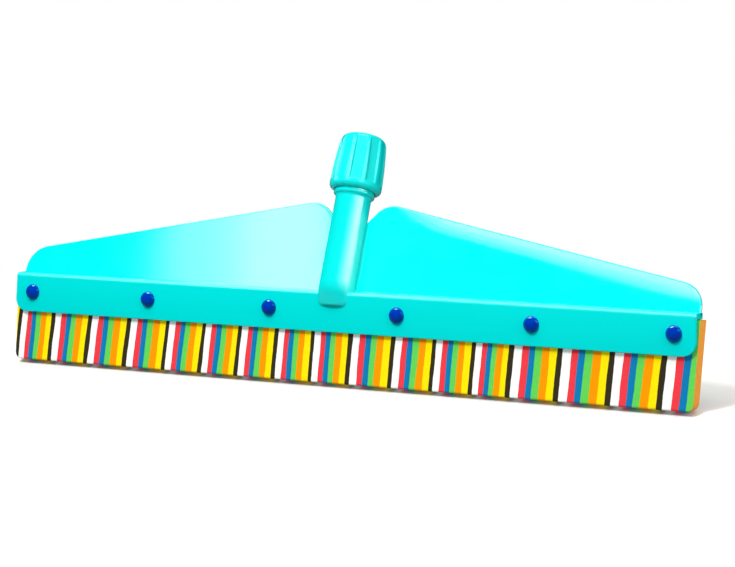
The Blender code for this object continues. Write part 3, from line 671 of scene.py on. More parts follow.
# %% Sweep the ledge with its fold and its fillet up to the wings
LEDGE_OVERLAP, LEDGE_EDGE = 0.8 * MM, 0.6 * MM
fillet_y = WING_FRONT - LEDGE_FILLET * (1 - sin(LEAN)) / cos(LEAN) + 0.05 * MM
fillet = arc((fillet_y, FOLD_HEIGHT + LEDGE_FILLET), LEDGE_FILLET, -LEAN, -pi / 2, 11)
half_wall = WING_WALL / 2
root = (fillet[0][0] + half_wall * cos(LEAN), fillet[0][1] - half_wall * sin(LEAN))
ledge_path = arc((FLAP_FRONT + FOLD_RADIUS, SEAM_HEIGHT), FOLD_RADIUS, pi / 2, pi, 13)
ledge_path += [(FLAP_BACK - LEDGE_OVERLAP, SEAM_HEIGHT), (FLAP_BACK - LEDGE_OVERLAP, LEDGE_UNDERSIDE)]
ledge_path += arc((LEDGE_REAR - LEDGE_EDGE, LEDGE_UNDERSIDE + LEDGE_EDGE), LEDGE_EDGE, -pi / 2, 0.0, 5)
ledge_path += [(LEDGE_REAR, FOLD_HEIGHT), (WING_FRONT + half_wall, FOLD_HEIGHT), root] + fillet


def ledge_ring(side, turn):
    """The ledge's section at one end, drawn in by the end's rounding."""
    inset, depth = FLAP_EDGE * (1 - sin(turn)), FLAP_EDGE * (1 - cos(turn))
    ring = []
    for (y, z), (moved_y, moved_z) in zip(ledge_path, moved_in(ledge_path, inset)):
        if abs(z - SEAM_HEIGHT) < 1e-7:
            moved_y, moved_z = y + inset, z
        ring.append(Vector((side * (bar_end(z) - depth), moved_y, moved_z)))
    return ring


turns = evenly(0.0, pi / 2, 5)
ledge_rings = [ledge_ring(-1, turn) for turn in turns]
ledge_rings += [ledge_ring(1, turn) for turn in reversed(turns)]
ledge_shell = loft(ledge_rings)
print("ledge shell", len(ledge_shell.faces), "faces")

# %% [markdown]
# ### The wings
# The wings are one panel with a notch for the socket. Its upper edges are crowned back by more
# than a millimetre over their last centimetre, and that soft roll is what catches the overhead
# light as a pale band. The roll follows the line of the upper edge, is all but flat on the left
# wing, and dies out at the foot and beside the socket. The outline is drawn once and moved inwards
# ring by ring, so the rows of points lie along the roll.

# %% Draw the wings' outline
WING_HALF_LENGTH = 227.2 * MM
WING_APEX, WING_SLOPE = 60.1 * MM, 0.197
WING_CORNER = 16.0 * MM
WING_INNER_CENTRE, NOTCH_ANGLE, NOTCH_HALF = 27.5 * MM, radians(140), 7.7 * MM
CROWN_WIDTH, CROWN_DROP, LEFT_CROWN = 13.0 * MM, 1.45 * MM, 0.06
CROWN_FOOT, CROWN_MIDDLE = (-2.0 * MM, 14.0 * MM), (16.0 * MM, 70.0 * MM)
RIM_RADIUS = 0.9 * MM
FOOT_ROWS, TOP_STEPS = (-2.0 * MM, 0.0, 1.0 * MM), 24


def wing_top(x):
    return WING_APEX - WING_SLOPE * abs(x)


def wing_path(inset):
    """From the right foot over the top and through the notch to the left foot."""
    slope, stretch = pi / 2 - atan(WING_SLOPE), hypot(1.0, WING_SLOPE)
    outer_x = WING_HALF_LENGTH - WING_CORNER
    outer, inner = ((x, wing_top(x) - WING_CORNER * stretch) for x in (outer_x, WING_INNER_CENTRE))
    half = [(WING_HALF_LENGTH - inset, h) for h in FOOT_ROWS]
    half += arc(outer, WING_CORNER - inset, 0.0, slope, 31)
    inner_arc = arc(inner, WING_CORNER - inset, slope, NOTCH_ANGLE, 31)
    half += [between(half[-1], inner_arc[0], share) for share in evenly(0.0, 1.0, TOP_STEPS)[1:-1]]
    half += inner_arc
    last_x, last_h = half[-1]
    half.append((NOTCH_HALF, last_h - (last_x - NOTCH_HALF) * tan(NOTCH_ANGLE - pi / 2)))
    return half + mirrored(half)


def eased(value, low, high):
    """From 0 to 1 between two limits, with soft ends."""
    share = min(1.0, max(0.0, (value - low) / (high - low)))
    return share * share * (3 - 2 * share)


def crown(x, h):
    """How far the surface is set back, by its distance from the line of the upper edge."""
    below = (wing_top(x) - h) / hypot(1.0, WING_SLOPE)
    share = min(1.0, max(0.0, 1.0 - below / CROWN_WIDTH))
    side = LEFT_CROWN if x < 0 else 1.0
    return side * CROWN_DROP * eased(h, *CROWN_FOOT) * eased(abs(x), *CROWN_MIDDLE) * share ** 2


print("wing outline has", len(wing_path(0.0)), "points")

# %% Make the wings
FLAT_ROWS, CROWN_STEPS = (1.5 * MM, 0.6 * MM), 14
wing_place = leaning(WING_FRONT)
insets = [CROWN_WIDTH + row for row in FLAT_ROWS] + evenly(CROWN_WIDTH, RIM_RADIUS, CROWN_STEPS)
front = [(inset, 0.0) for inset in insets]
rim = [(RIM_RADIUS * (1 - sin(turn)), RIM_RADIUS * (1 - cos(turn))) for turn in turns[1:]]
back = [(inset, WING_WALL - depth) for inset, depth in reversed([(RIM_RADIUS, 0.0)] + rim)]
back += [(inset, WING_WALL) for inset in reversed(insets[:-1])]
wing_rings = [[wing_place @ Vector((x, depth + crown(x, h), h)) for x, h in wing_path(inset)]
              for inset, depth in front + rim + back]
wing_shell = loft(wing_rings)
print("wings", len(wing_shell.faces), "faces")

# %% Make the ribs on the back of the wings
RIB_STATIONS = (66.0 * MM, 122.0 * MM, 178.0 * MM)
RIB_ROOT, RIB_FOOT_DEPTH, RIB_FOOT_HEIGHT, RIB_HEAD_DEPTH = 0.6 * MM, 3.4 * MM, 7.0 * MM, 0.9 * MM
RIB_HALF, RIB_ROUND, RIB_BELOW_TOP = 0.8 * MM, 0.35 * MM, 6.0 * MM
RIB_TIP_DEPTH, RIB_TIP_DROP = 0.3 * MM, 0.8 * MM

rib_shells = []
for x in RIB_STATIONS + tuple(-station for station in RIB_STATIONS):
    top = wing_top(x) - RIB_BELOW_TOP
    rib_path = [(WING_WALL - RIB_ROOT, -RIB_ROOT), (WING_WALL, -RIB_ROOT),
                (WING_WALL + RIB_FOOT_DEPTH, RIB_FOOT_HEIGHT),
                (WING_WALL + RIB_HEAD_DEPTH, top - RIB_TIP_DROP),
                (WING_WALL + RIB_TIP_DEPTH, top), (WING_WALL - RIB_ROOT, top)]
    rib_shells.append(plate(rib_path, -RIB_HALF, RIB_HALF, RIB_ROUND,
                            lambda u, v, w, x=x: wing_place @ Vector((x + w, u, v)), steps=4))
print(len(rib_shells), "ribs")

# %% [markdown]
# ### The pole socket
# The socket is turned: a bore for the pole, a wider seat for the collet at the mouth, a plain neck
# for the thread, a bead under it and a tube that widens a little down to a rounded nose. The front
# of the nose bends back to the flap below the fold, so its points are drawn in after the lathe
# work. The nose hangs over the flap only, and what would stand in the foam is cut away with a
# Boolean, which is the shortest way to trim a turned shape by flat walls.

# %% Draw the socket's profile
BORE, SEAT, THREAD = 9.65 * MM, 10.8 * MM, 12.0 * MM
SOCKET_FLOOR, SEAT_FLOOR, MOUTH = 3.6 * MM, 74.2 * MM, 80.0 * MM
INNER_ROUND, OUTER_ROUND = 0.25 * MM, 0.45 * MM
FOOT_RADIUS, NECK_RADIUS = 11.05 * MM, 10.75 * MM
NOSE_RADIUS, NOSE_LENGTH = 3.4 * MM, 9.9 * MM
TOE_TOP, TOE_BEND, TOE_SLOPE, TOE_EDGE = 6.0 * MM, 9.6 * MM, 0.60, 0.5 * MM
RING_TOP, RING_HALF, RING_RADIUS, BEAD_END = 61.3 * MM, 1.35 * MM, 12.45 * MM, -0.42 * pi
TAPER_TOP, FLARE_POWER, FLARE_STEPS = 57.0 * MM, 2.2, 7
TUBE_ROWS, TOE_ROWS = 11, 20

bead = (RING_RADIUS - RING_HALF, RING_TOP - RING_HALF)
bead_start = acos((THREAD - bead[0]) / RING_HALF)
socket_profile = [(0.0, SOCKET_FLOOR), (BORE, SOCKET_FLOOR), (BORE, SEAT_FLOOR), (SEAT, SEAT_FLOOR)]
socket_profile += arc((SEAT + INNER_ROUND, MOUTH - INNER_ROUND), INNER_ROUND, pi, pi / 2, 4)
socket_profile += arc((THREAD - OUTER_ROUND, MOUTH - OUTER_ROUND), OUTER_ROUND, pi / 2, 0.0, 6)
socket_profile += arc(bead, RING_HALF, bead_start, BEAD_END, 19)
flare_radius, flare_height = socket_profile[-1]
for share in evenly(0.0, 1.0, FLARE_STEPS)[1:]:
    socket_profile.append((NECK_RADIUS + (flare_radius - NECK_RADIUS) * (1 - share) ** FLARE_POWER,
                           flare_height + (TAPER_TOP - flare_height) * share))
nose_centre = NOSE_RADIUS - NOSE_LENGTH
for height in evenly(TAPER_TOP, TOE_TOP, TUBE_ROWS)[1:] + evenly(TOE_TOP, nose_centre, TOE_ROWS)[1:]:
    share = (TAPER_TOP - height) / (TAPER_TOP - nose_centre)
    socket_profile.append((NECK_RADIUS + (FOOT_RADIUS - NECK_RADIUS) * share, height))
socket_profile += arc((FOOT_RADIUS - NOSE_RADIUS, nose_centre), NOSE_RADIUS, 0.0, -pi / 2, 17)[1:]
socket_profile.append((0.0, -NOSE_LENGTH))
print("socket profile has", len(socket_profile), "points")

# %% Turn the socket and bend its toe back
SOCKET_SEGMENTS = 144
socket_place = leaning(SOCKET_AXIS)
socket_shell = turned(socket_profile, SOCKET_SEGMENTS, Matrix.Identity(4), closed=True)


def toe_reach(height):
    """How far the toe reaches in front of the socket's line; it bends back towards the flap."""
    fall = TOE_TOP - height
    back = TOE_SLOPE * (fall ** 3 / (3 * TOE_BEND ** 2) if fall < TOE_BEND else fall - TOE_BEND * 2 / 3)
    edge = min(TOE_EDGE, max(0.0, TOE_EDGE - NOSE_LENGTH - height))
    return FOOT_RADIUS - back - TOE_EDGE + sqrt(TOE_EDGE ** 2 - edge ** 2)


for point in socket_shell.verts:
    radius, front = hypot(point.co.x, point.co.y), -point.co.y
    if point.co.z < TOE_TOP and front > 0 and radius > 0.1 * MM:
        point.co.y += max(0.0, radius - toe_reach(point.co.z)) * front / radius
socket_shell.transform(socket_place)
print("socket shell", len(socket_shell.faces), "faces")

# %% Trim the nose where the foam stands


def helper_object(name, work):
    """A bmesh as a throw-away object."""
    mesh = bpy.data.meshes.new(name)
    work.to_mesh(mesh)
    work.free()
    return put(name, mesh)


CUT_REACH, CUT_FRONT, CUT_TOP = 22.0 * MM, FLAP_BACK - 0.6 * MM, LEDGE_UNDERSIDE + 1.0 * MM
channel = bmesh.new()
bmesh.ops.create_cube(channel, size=1.0)
low, high = Vector((-CUT_REACH, CUT_FRONT, FLAP_BOTTOM)), Vector((CUT_REACH, CUT_REACH, CUT_TOP))
bmesh.ops.scale(channel, vec=high - low, verts=channel.verts)
bmesh.ops.translate(channel, vec=(high + low) / 2, verts=channel.verts)
raw_socket = helper_object("raw_socket", socket_shell)
blade_channel = helper_object("blade_channel", channel)
trim = raw_socket.modifiers.new("Trim", "BOOLEAN")
trim.operation, trim.solver, trim.object = "DIFFERENCE", "EXACT", blade_channel
trimmed = bpy.data.meshes.new_from_object(raw_socket.evaluated_get(bpy.context.evaluated_depsgraph_get()))
socket_shell = bmesh.new()
socket_shell.from_mesh(trimmed)
for item in (raw_socket, blade_channel):
    bpy.data.objects.remove(item, do_unlink=True)
print("trimmed socket", len(socket_shell.faces), "faces")

# %% Put the moulding together
moulding = piece("moulded_frame", [flap_shell, ledge_shell, wing_shell] + rib_shells, frame_finish)
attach(moulding, "frame")
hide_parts("main_frame")
socket = piece("moulded_socket", [socket_shell], socket_finish)
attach(socket, "frame")
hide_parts("pole_socket")

# %% [markdown]
# ## The socket's thread
# When the collar is unscrewed a few turns of thread show on the neck. A thread is a small section
# carried along a helix, and it runs out to nothing at both ends, so the section is drawn at every
# step of the turn and its crest is faded at the start and the finish.

# %% Wind the thread
THREAD_PITCH = 2.5 * MM
THREAD_START, THREAD_FINISH = 63.0 * MM, 78.6 * MM
THREAD_ROOT, THREAD_CREST = 11.9 * MM, 12.27 * MM
ROOT_HALF, CREST_HALF = 0.85 * MM, 0.28 * MM
STEPS_A_TURN, RUN_OUT_STEPS = 72, 12
step_count = int((THREAD_FINISH - THREAD_START) / THREAD_PITCH * STEPS_A_TURN)
thread_rings = []
for step in range(step_count + 1):
    angle = 2 * pi * step / STEPS_A_TURN
    run_out = min(1.0, step / RUN_OUT_STEPS, (step_count - step) / RUN_OUT_STEPS)
    crest = THREAD_ROOT + (THREAD_CREST - THREAD_ROOT) * run_out
    middle = THREAD_START + THREAD_PITCH * step / STEPS_A_TURN
    section = ((THREAD_ROOT, -ROOT_HALF), (crest, -CREST_HALF),
               (crest, CREST_HALF), (THREAD_ROOT, ROOT_HALF))
    thread_rings.append([socket_place @ around(r, angle, middle + h) for r, h in section])
thread = piece("socket_thread", [loft(thread_rings)], socket_finish, sharp=60.0)
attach(thread, "frame")

# %% [markdown]
# ## The locking collar
# The collar has ten upright ribs over a plain ring, and the spaces between the ribs are flat, as if
# planed. It could be a lathe shape with boxes cut from it, but the cut edges would then be
# razor-sharp. Here each ring of points is drawn round the collar with its columns tied to the
# ribs' sides, so the sides get a small radius and catch a thin line of light.

# %% Lay out the columns round the collar
RIB_COUNT = 10
RIB_WIDTH = 2.8 * MM
RIB_PHASE = radians(6)
RIB_SOFT = 0.42 * MM
COLLAR_BOTTOM, COLLAR_RING_TOP, COLLAR_TOP = 62.0 * MM, 66.6 * MM, 96.3 * MM
COLLAR_BASE, COLLAR_HEAD, COLLAR_BULGE = 15.8 * MM, 14.08 * MM, 1.4 * MM
COLLAR_TOP_RADIUS, COLLAR_RIM = 5.3 * MM, 10.75 * MM
FLUTE_DEPTH = 1.05 * MM
turn_in = acos(1 - (COLLAR_HEAD - COLLAR_RIM) / COLLAR_TOP_RADIUS)
CREST_TOP = COLLAR_TOP - COLLAR_TOP_RADIUS * sin(turn_in)
HALF_PITCH = pi / RIB_COUNT


def crest_radius(share):
    """Radius of the ribs, from the ring (0) to the head (1); they bulge a little between."""
    return COLLAR_BASE + (COLLAR_HEAD - COLLAR_BASE) * share + COLLAR_BULGE * share * (1 - share)


FLUTE_HALF = crest_radius(0.5) * sin(HALF_PITCH) - RIB_WIDTH / 2


def collar_columns(radius, height, cut):
    """Points round the collar at one height; cut is 0 on a plain ring and 1 between the ribs."""
    side = asin(min(0.95 * sin(HALF_PITCH), FLUTE_HALF / radius))
    soft = RIB_SOFT / radius
    fall = (COLLAR_BASE - COLLAR_HEAD) * (height - COLLAR_RING_TOP) / (CREST_TOP - COLLAR_RING_TOP)
    plane = COLLAR_BASE - FLUTE_DEPTH - fall
    half = [((side - soft) * share, 1.0) for share in (0.0, 0.2, 0.4, 0.6, 0.8, 0.93, 1.0)]
    half += [(side - soft * 0.45, 0.84), (side, 0.5), (side + soft * 0.45, 0.16)]
    rib_start = side + soft
    half += [(rib_start + (HALF_PITCH - rib_start) * share, 0.0) for share in (0.0, 0.15, 0.4, 0.7)]
    half.append((HALF_PITCH, 0.0))
    columns = [(-angle, flat) for angle, flat in reversed(half[1:])] + half[:-1]
    points = []
    for rib in range(RIB_COUNT):
        for angle, flat in columns:
            depth = max(0.0, radius - plane / cos(angle)) * flat * cut
            whole = RIB_PHASE + 2 * HALF_PITCH * (rib + 0.5) + angle
            points.append(around(radius - depth, whole, height))
    return points


column_count = len(collar_columns(COLLAR_BASE, COLLAR_RING_TOP, 1.0))
print("flute half width", round(FLUTE_HALF / MM, 2), "mm,", column_count, "columns")

# %% Draw the collar's rows and make it
LIP, CHAMBER, CONE_FOOT, CONE_HEAD = 9.85 * MM, 12.35 * MM, 12.0 * MM, 10.9 * MM
SHOULDER, CHAMBER_TOP = 80.3 * MM, 92.8 * MM
FOOT_ROUND, HEAD_CENTRE = 2.8 * MM, COLLAR_HEAD - COLLAR_TOP_RADIUS
RIB_ROWS, ROOT_SHARE = 16, 0.985
CHAMFER, LIP_CHAMFER = 0.3 * MM, 0.2 * MM
RING_ROWS = ((0.16, 0.97), (0.09, 0.85), (0.05, 0.55), (0.01, 0.22), (-0.06, 0.06), (-0.2, 0.0))

collar_rows = [(LIP + LIP_CHAMFER, COLLAR_TOP, 0.0)]
collar_rows += [(r, h, 1.0) for r, h in arc((HEAD_CENTRE, CREST_TOP), COLLAR_TOP_RADIUS, turn_in, 0.0, 15)]
for step in range(1, RIB_ROWS + 1):
    share = 1 - step / RIB_ROWS * ROOT_SHARE
    height = COLLAR_RING_TOP + (CREST_TOP - COLLAR_RING_TOP) * share
    collar_rows.append((crest_radius(share), height, 1.0))
collar_rows += [(COLLAR_BASE, COLLAR_RING_TOP + height * MM, cut) for height, cut in RING_ROWS]
foot = arc((COLLAR_BASE - FOOT_ROUND, COLLAR_BOTTOM + FOOT_ROUND), FOOT_ROUND, 0.0, -pi / 2, 15)
inside = [(CHAMBER + CHAMFER, COLLAR_BOTTOM), (CHAMBER, COLLAR_BOTTOM + CHAMFER), (CHAMBER, SHOULDER),
          (CONE_FOOT, SHOULDER + CHAMFER), (CONE_HEAD, CHAMBER_TOP), (LIP, CHAMBER_TOP),
          (LIP, COLLAR_TOP - LIP_CHAMFER)]
collar_rows += [(r, h, 0.0) for r, h in foot + inside] + [collar_rows[0]]
collar_rings = [[socket_place @ point for point in collar_columns(r, h, cut)] for r, h, cut in collar_rows]
collar = piece("ribbed_collar", [loft(collar_rings, caps=False)], collar_finish, sharp=50.0)
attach(collar, "collar")
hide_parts("locking_collar")

# %% [markdown]
# ## Rivets and clamp strip
# Six blue dome-headed rivets pass through the flap, the foam and a plain strip behind it, and snap
# into round caps at the back. The domes are small mirrors for the lamps, so they are turned with
# many segments and sit on a thin skirt that touches the flap. Their spots of light are blue-green,
# not white, because the plastic is slightly clear and tints what it sends back. The strip is a
# rounded plate.

# %% Sizes of the rivets, and a helper that draws a dome
RIVET_PITCH, RIVET_HEIGHT = 86.0 * MM, 43.3 * MM
HEAD_RADIUS, HEAD_HEIGHT, CAP_HEIGHT, SHANK = 4.9 * MM, 3.9 * MM, 3.4 * MM, 2.0 * MM
SKIRT_DEPTH, STAND_OFF = 0.26 * MM, 0.3 * MM


def dome(radius, height, points=20):
    """A shallow dome's profile from its crown to its rim, and a small radius under the rim."""
    sphere = (radius ** 2 + height ** 2) / (2 * height)
    rim = atan2(sphere - height, radius)
    under = [(radius - 0.02 * MM, -0.12 * MM), (radius - 0.14 * MM, -SKIRT_DEPTH)]
    return arc((0.0, height - sphere), sphere, pi / 2, rim, points) + under


print("head", round(2 * HEAD_RADIUS / MM, 1), "mm across")

# %% Turn the rivets and their caps
STRIP_FRONT, STRIP_BACK = 5.3 * MM, 7.8 * MM
SHANK_LENGTH, SHANK_CHAMFER = 18.5 * MM, 0.3 * MM
CAP_BORE, CAP_BORE_DEPTH = SHANK + 0.3 * MM, 2.4 * MM
RIVET_SEGMENTS = 72
FACING_FRONT, FACING_BACK = Matrix.Rotation(pi / 2, 4, "X"), Matrix.Rotation(-pi / 2, 4, "X")

rivets = []
for number in range(6):
    x = (number - 2.5) * RIVET_PITCH
    head_place = Matrix.Translation((x, FLAP_FRONT - STAND_OFF, RIVET_HEIGHT)) @ FACING_FRONT
    shank = [(SHANK, -SKIRT_DEPTH), (SHANK, SHANK_CHAMFER - SHANK_LENGTH),
             (SHANK - SHANK_CHAMFER, -SHANK_LENGTH), (0.0, -SHANK_LENGTH)]
    stud_shell = turned(dome(HEAD_RADIUS, HEAD_HEIGHT) + shank, RIVET_SEGMENTS, head_place)
    stud = piece(f"rivet_head_{number + 1}", [stud_shell], rivet_finish)
    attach(stud, "frame")
    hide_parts(f"rivet_{number + 1}")
    cap_place = Matrix.Translation((x, STRIP_BACK + STAND_OFF, RIVET_HEIGHT)) @ FACING_BACK
    bore = [(CAP_BORE, -SKIRT_DEPTH), (CAP_BORE, CAP_BORE_DEPTH), (0.0, CAP_BORE_DEPTH)]
    cap_shell = turned(dome(HEAD_RADIUS, CAP_HEIGHT) + bore, RIVET_SEGMENTS, cap_place)
    cap = piece(f"snap_cap_{number + 1}", [cap_shell], rivet_finish)
    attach(cap, "frame")
    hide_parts(f"rivet_cap_{number + 1}")
    rivets += [stud, cap]

# %% Make the clamp strip
STRIP_TOP = FLAP_BOTTOM + 20.0 * MM
STRIP_CORNER, STRIP_TOP_CORNER, STRIP_EDGE = 6.0 * MM, 1.2 * MM, 0.5 * MM

lower_centre = (WING_HALF_LENGTH - STRIP_CORNER, FLAP_BOTTOM + STRIP_CORNER)
upper_centre = (WING_HALF_LENGTH - STRIP_TOP_CORNER, STRIP_TOP - STRIP_TOP_CORNER)
strip_right = arc(lower_centre, STRIP_CORNER, -pi / 2, 0.0, 19)
strip_right += arc(upper_centre, STRIP_TOP_CORNER, 0.0, pi / 2, 7)
strip_shell = plate(strip_right + mirrored(strip_right), STRIP_FRONT, STRIP_BACK, STRIP_EDGE, upright)
strip = piece("back_strip", [strip_shell], strip_finish)
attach(strip, "frame")
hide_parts("rear_clamp_strip")

# %% [markdown]
# Each gloss lamp is meant for some of the pieces only. In a studio a black card, called a flag,
# keeps such a lamp off the rest. Blender has light linking for that: a collection lists what a lamp
# may light, and a second one can list what may stand in its way, so the table bounce is not stopped
# by the paper.

# %% Flag the gloss lamps


def flag(lamps, lit, name):
    """Let the lamps light these objects alone."""
    group = bpy.data.collections.new(name)
    for item in lit:
        group.objects.link(item)
    for item in lamps:
        item.light_linking.receiver_collection = group


flag(wing_lamps, [moulding], "lit_by_wing_lamps")
flag(collar_lamps, [collar], "lit_by_collar_lamps")
flag(plain_lamps, [moulding, strip], "lit_by_right_gloss")
flag(tube_lamps, [socket, thread], "lit_by_tube_lamps")
flag(rivet_lamps, rivets, "lit_by_rivet_lamps")
flag(small_lamps, [moulding, socket, thread, strip, collar], "lit_by_small_overhead")

# %% [markdown]
# The split collet is seen only through the collar's mouth, so the solid itself stays and takes the
# finish of uncoloured nylon in its material slot.

# %% Finish the collet
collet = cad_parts["split_collet"]
if not collet.material_slots:
    collet.data.materials.append(nylon_finish)
for slot in collet.material_slots:
    slot.material = nylon_finish
print("collet finish", collet.material_slots[0].material.name)

# %% [markdown]
# ## The striped foam blade
# The blade is cut from a block of closed-cell foam sheets glued in seven colours, so each stripe is
# a real layer that goes right through. It could be one box with a striped texture, but then the
# bottom and the ends would have to be painted to match. Here each layer is real mesh between two
# slightly wavy glue lines, and takes a finish of its own. The sheets differ in thickness, and their
# lean changes slowly along the blade. The right end is cut slanting, and its end face gets a paler
# orange: painted light, where that face is lit more than the lamps give it.

# %% Sizes of the foam blade
blade_low, blade_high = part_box("foam_blade")
BLADE_LENGTH = blade_high.x - blade_low.x
BLADE_HEIGHT = blade_high.z
BLADE_HALF = (blade_high.y - blade_low.y) / 2
LEFT_TAPER, RIGHT_TAPER = 0.9 * MM, 2.6 * MM
END_CORNER = 4.5 * MM
BLOCK_PITCHES = (24.9, 27.3, 28.9, 28.7, 26.2, 25.6, 26.0, 25.5, 25.15, 28.1, 27.05, 25.55, 23.45,
                 29.95, 31.55, 30.85, 32.4)
BLOCK_LEANS = (0.10, 0.115, 0.11, 0.105, 0.108, 0.10, 0.09, 0.06, 0.055, 0.068, 0.075, 0.068, 0.075,
               0.068, 0.075, 0.09, 0.095, 0.095)
LAYERS = (("black", 0.108), ("white", 0.165), ("red", 0.137), ("blue", 0.133), ("green", 0.141),
          ("orange", 0.165), ("yellow", 0.151))
print("blade", round(BLADE_LENGTH / MM, 1), "mm, pitches add up to", round(sum(BLOCK_PITCHES), 1))

# %% Lay out the glue lines
LINES_BEYOND_END = (4.0 * MM, 0.4 * MM)
THICKNESS_SPREAD = 0.10
BLOCK_STEP, LAYER_STEP, NOISE_PLACE = 1.7, 2.3, 0.5

glue_lines = [-BLADE_LENGTH / 2 - beyond for beyond in LINES_BEYOND_END]
layer_colours = ["yellow"]
for block, pitch in enumerate(BLOCK_PITCHES):
    start = glue_lines[-1]
    unit = pitch * MM
    for step, (colour, share) in enumerate(LAYERS):
        sway = noise.noise(Vector((block * BLOCK_STEP, step * LAYER_STEP, NOISE_PLACE)))
        width = unit * share * (1.0 + THICKNESS_SPREAD * sway)
        glue_lines.append(glue_lines[-1] + width)
        layer_colours.append(colour)
    glue_lines[-1] = start + unit
print(len(layer_colours), "layers, the last glue line at", round(glue_lines[-1] / MM, 1), "mm")

# %% Let the glue lines lean and wave
LEAN_PIVOT = 5.0 * MM
# Each wave: its height in mm, how far apart the lines lie in the noise, and its scales in Z and Y.
WAVES = ((0.38, 7.1, 70.0, 60.0), (0.14, 3.7, 260.0, 150.0), (0.07, 5.3, 900.0, 400.0))


def layer_lean(index):
    """The sheets' lean changes slowly from block to block, as they were stacked."""
    place = max(0.0, (index - 2) / len(LAYERS) - 0.5)
    block = min(int(place), len(BLOCK_LEANS) - 2)
    return BLOCK_LEANS[block] + (BLOCK_LEANS[block + 1] - BLOCK_LEANS[block]) * min(1.0, place - block)


def glue_x(index, y, z):
    """Where a glue line runs: it leans, and waves a little as the sheets were pressed."""
    wave = sum(size * noise.noise(Vector((index * apart, z * in_z, y * in_y)))
               for size, apart, in_z, in_y in WAVES)
    return glue_lines[index] + layer_lean(index) * (z - LEAN_PIVOT) + wave * MM


print("lean", layer_lean(2), "at the left end and", layer_lean(len(layer_colours)), "at the right end")

# %% Helpers for the blade's outline
FREE_ROWS, EDGE_ROWS = 44, 6
EDGE_ROUND, FRONT_ROUND = 0.9 * MM, 1.25 * MM
CORNER_ROWS = (0.28, 0.38, 0.5, 0.65, 0.82)


def end_x(z, side):
    """How far the blade reaches at a height: both ends are cut along the lean of the sheets."""
    rise = z / BLADE_HEIGHT
    straight = BLADE_LENGTH / 2 - (RIGHT_TAPER * (1 - rise) if side > 0 else LEFT_TAPER * rise)
    if z >= END_CORNER:
        return straight
    return straight - END_CORNER + sqrt(max(0.0, END_CORNER ** 2 - (END_CORNER - z) ** 2))


def blade_rows():
    """Heights of the rows, closer together at the rounded lower and upper edges."""
    rows = [FRONT_ROUND * (1 - cos(step * pi / 2 / EDGE_ROWS)) for step in range(EDGE_ROWS)]
    rows += [END_CORNER * share for share in CORNER_ROWS]
    rows += evenly(END_CORNER, BLADE_HEIGHT - EDGE_ROUND, FREE_ROWS)[:-1]
    shares = reversed(evenly(0.0, 1.0, EDGE_ROWS - 1))
    return rows + [BLADE_HEIGHT - EDGE_ROUND * (1 - cos(share * pi / 2)) for share in shares]


def half_thickness(z, lower_round=EDGE_ROUND):
    """Half the blade's thickness at a height; its front lower edge is the one worn rounder."""
    edge_round, inset = (lower_round, z) if z < BLADE_HEIGHT / 2 else (EDGE_ROUND, BLADE_HEIGHT - z)
    if inset >= edge_round:
        return BLADE_HALF
    return BLADE_HALF - edge_round + sqrt(max(0.0, edge_round ** 2 - (edge_round - inset) ** 2))


print("edges rounded by", EDGE_ROUND / MM, "mm and, at the front below,", FRONT_ROUND / MM, "mm")

# %% Draw the blade's section
rows = blade_rows()
CROSS = (0.5, 0.0, -0.5)
ring_points = [(-half_thickness(z, FRONT_ROUND), z) for z in rows]
ring_points += [(-half_thickness(BLADE_HEIGHT) * share, BLADE_HEIGHT) for share in CROSS]
ring_points += [(half_thickness(z), z) for z in reversed(rows)]
ring_points += [(half_thickness(0.0) * share, 0.0) for share in CROSS]
print(len(rows), "rows,", len(ring_points), "points round the blade")

# %% Build the layers
foam_work = bmesh.new()
rings = [[foam_work.verts.new((max(-end_x(z, -1), min(end_x(z, 1), glue_x(index, y, z))), y, z))
          for y, z in ring_points] for index in range(len(glue_lines))]

COLOUR_ORDER = [colour for colour, share in LAYERS] + ["painted lit end"]
for index, colour in enumerate(layer_colours):
    first, second = rings[index], rings[index + 1]
    for k in range(len(ring_points)):
        n = (k + 1) % len(ring_points)
        quad = (first[k], first[n], second[n], second[k])
        if (quad[0].co - quad[3].co).length > 1e-6 or (quad[1].co - quad[2].co).length > 1e-6:
            foam_work.faces.new(quad).material_index = COLOUR_ORDER.index(colour)
print("layers drawn:", len(foam_work.faces), "faces")

# %% Close the ends and make the piece
row_count = len(rows)
for side, ring in ((-1, rings[0]), (1, rings[-1])):
    # The right end face takes the paler orange that paints light on it.
    end_colour = "yellow" if side < 0 else "painted lit end"
    for k in range(row_count - 1):
        back = 2 * row_count + len(CROSS) - 1 - k
        cap = [ring[k], ring[k + 1], ring[back - 1], ring[back]]
        face = foam_work.faces.new(cap if side < 0 else cap[::-1])
        face.material_index = COLOUR_ORDER.index(end_colour)
bmesh.ops.remove_doubles(foam_work, verts=foam_work.verts, dist=2e-6)
bmesh.ops.recalc_face_normals(foam_work, faces=foam_work.faces)
foam_mesh = bpy.data.meshes.new("striped_foam")
foam_work.to_mesh(foam_mesh)
foam_work.free()
foam = put("striped_foam", foam_mesh)
foam_mesh.shade_smooth()
foam_mesh.set_sharp_from_angle(angle=radians(50))
print("foam blade has", len(foam_mesh.polygons), "faces")
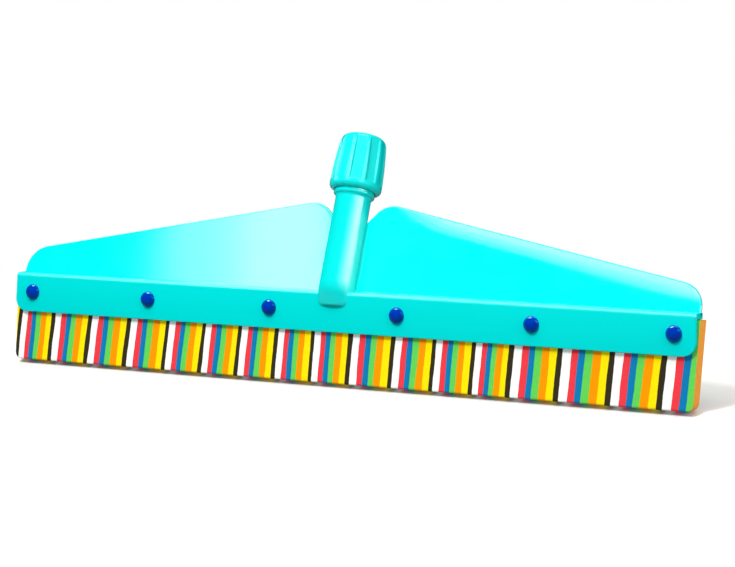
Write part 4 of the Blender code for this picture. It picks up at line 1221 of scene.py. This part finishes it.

# %% [markdown]
# ### The foam's finish
# Cut closed-cell foam is matt and full of tiny half-open cells, and its colour is a little uneven
# from sheet to sheet. One noise makes the cells as relief, a second one speckles the colour, and
# the long waves of the knife leave faint lines across the layers.

# %% Finish the foam layers
# The right end face's paler orange is painted light on that face, not a different foam.
FOAM_COLOURS = {"black": (0.034, 0.027, 0.013), "white": (0.95, 0.97, 0.94),
                "red": (0.84, 0.045, 0.062), "blue": (0.004, 0.19, 0.44), "green": (0.12, 0.63, 0.09),
                "orange": (0.98, 0.31, 0.0), "yellow": (0.98, 0.775, 0.002), "painted lit end": (1.0, 0.40, 0.06)}
SPECKLE_SCALE, CELL_SCALE, KNIFE_SCALE = 420.0, 2600.0, 300.0
CELL_DEPTH, KNIFE_DEPTH, KNIFE_STRETCH = 4.0e-5, 1.2e-5, (0.1, 1.0, 1.0)
SPECKLE_NOISE, FOAM_DRIFT, FOAM_ROUGHNESS, FOAM_SHINE = (0.25, 0.75), (0.92, 1.05), 0.9, 0.2


def foam_finish(colour):
    """Matt foam of one colour, with open cells and knife lines."""
    finish, tree, shader = new_finish("foam_" + colour.replace(" ", "_"))
    base = FOAM_COLOURS[colour]
    speckle = fade(tree, grain(tree, SPECKLE_SCALE, 4.0, 0.65), *SPECKLE_NOISE)
    cells = relief(tree, grain(tree, CELL_SCALE, 2.0, 0.7), CELL_DEPTH)
    knife = relief(tree, grain(tree, KNIFE_SCALE, 1.0, 0.5, KNIFE_STRETCH), KNIFE_DEPTH, cells)
    tint = tinted(tree, speckle, *(shaded(base, share) for share in FOAM_DRIFT))
    feed(tree, shader, Base_Color=tint, Normal=knife)
    shader.inputs["Roughness"].default_value = FOAM_ROUGHNESS
    shader.inputs["Specular IOR Level"].default_value = FOAM_SHINE
    return finish


for colour in COLOUR_ORDER:
    foam_mesh.materials.append(foam_finish(colour))
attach(foam, "frame")
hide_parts("foam_blade")
flag(end_lamps, [foam], "lit_by_end_fill")
flag(under_lamps, [foam], "lit_by_table_bounce")
for item in under_lamps:
    item.light_linking.blocker_collection = item.light_linking.receiver_collection
print("foam colours", ", ".join(COLOUR_ORDER))
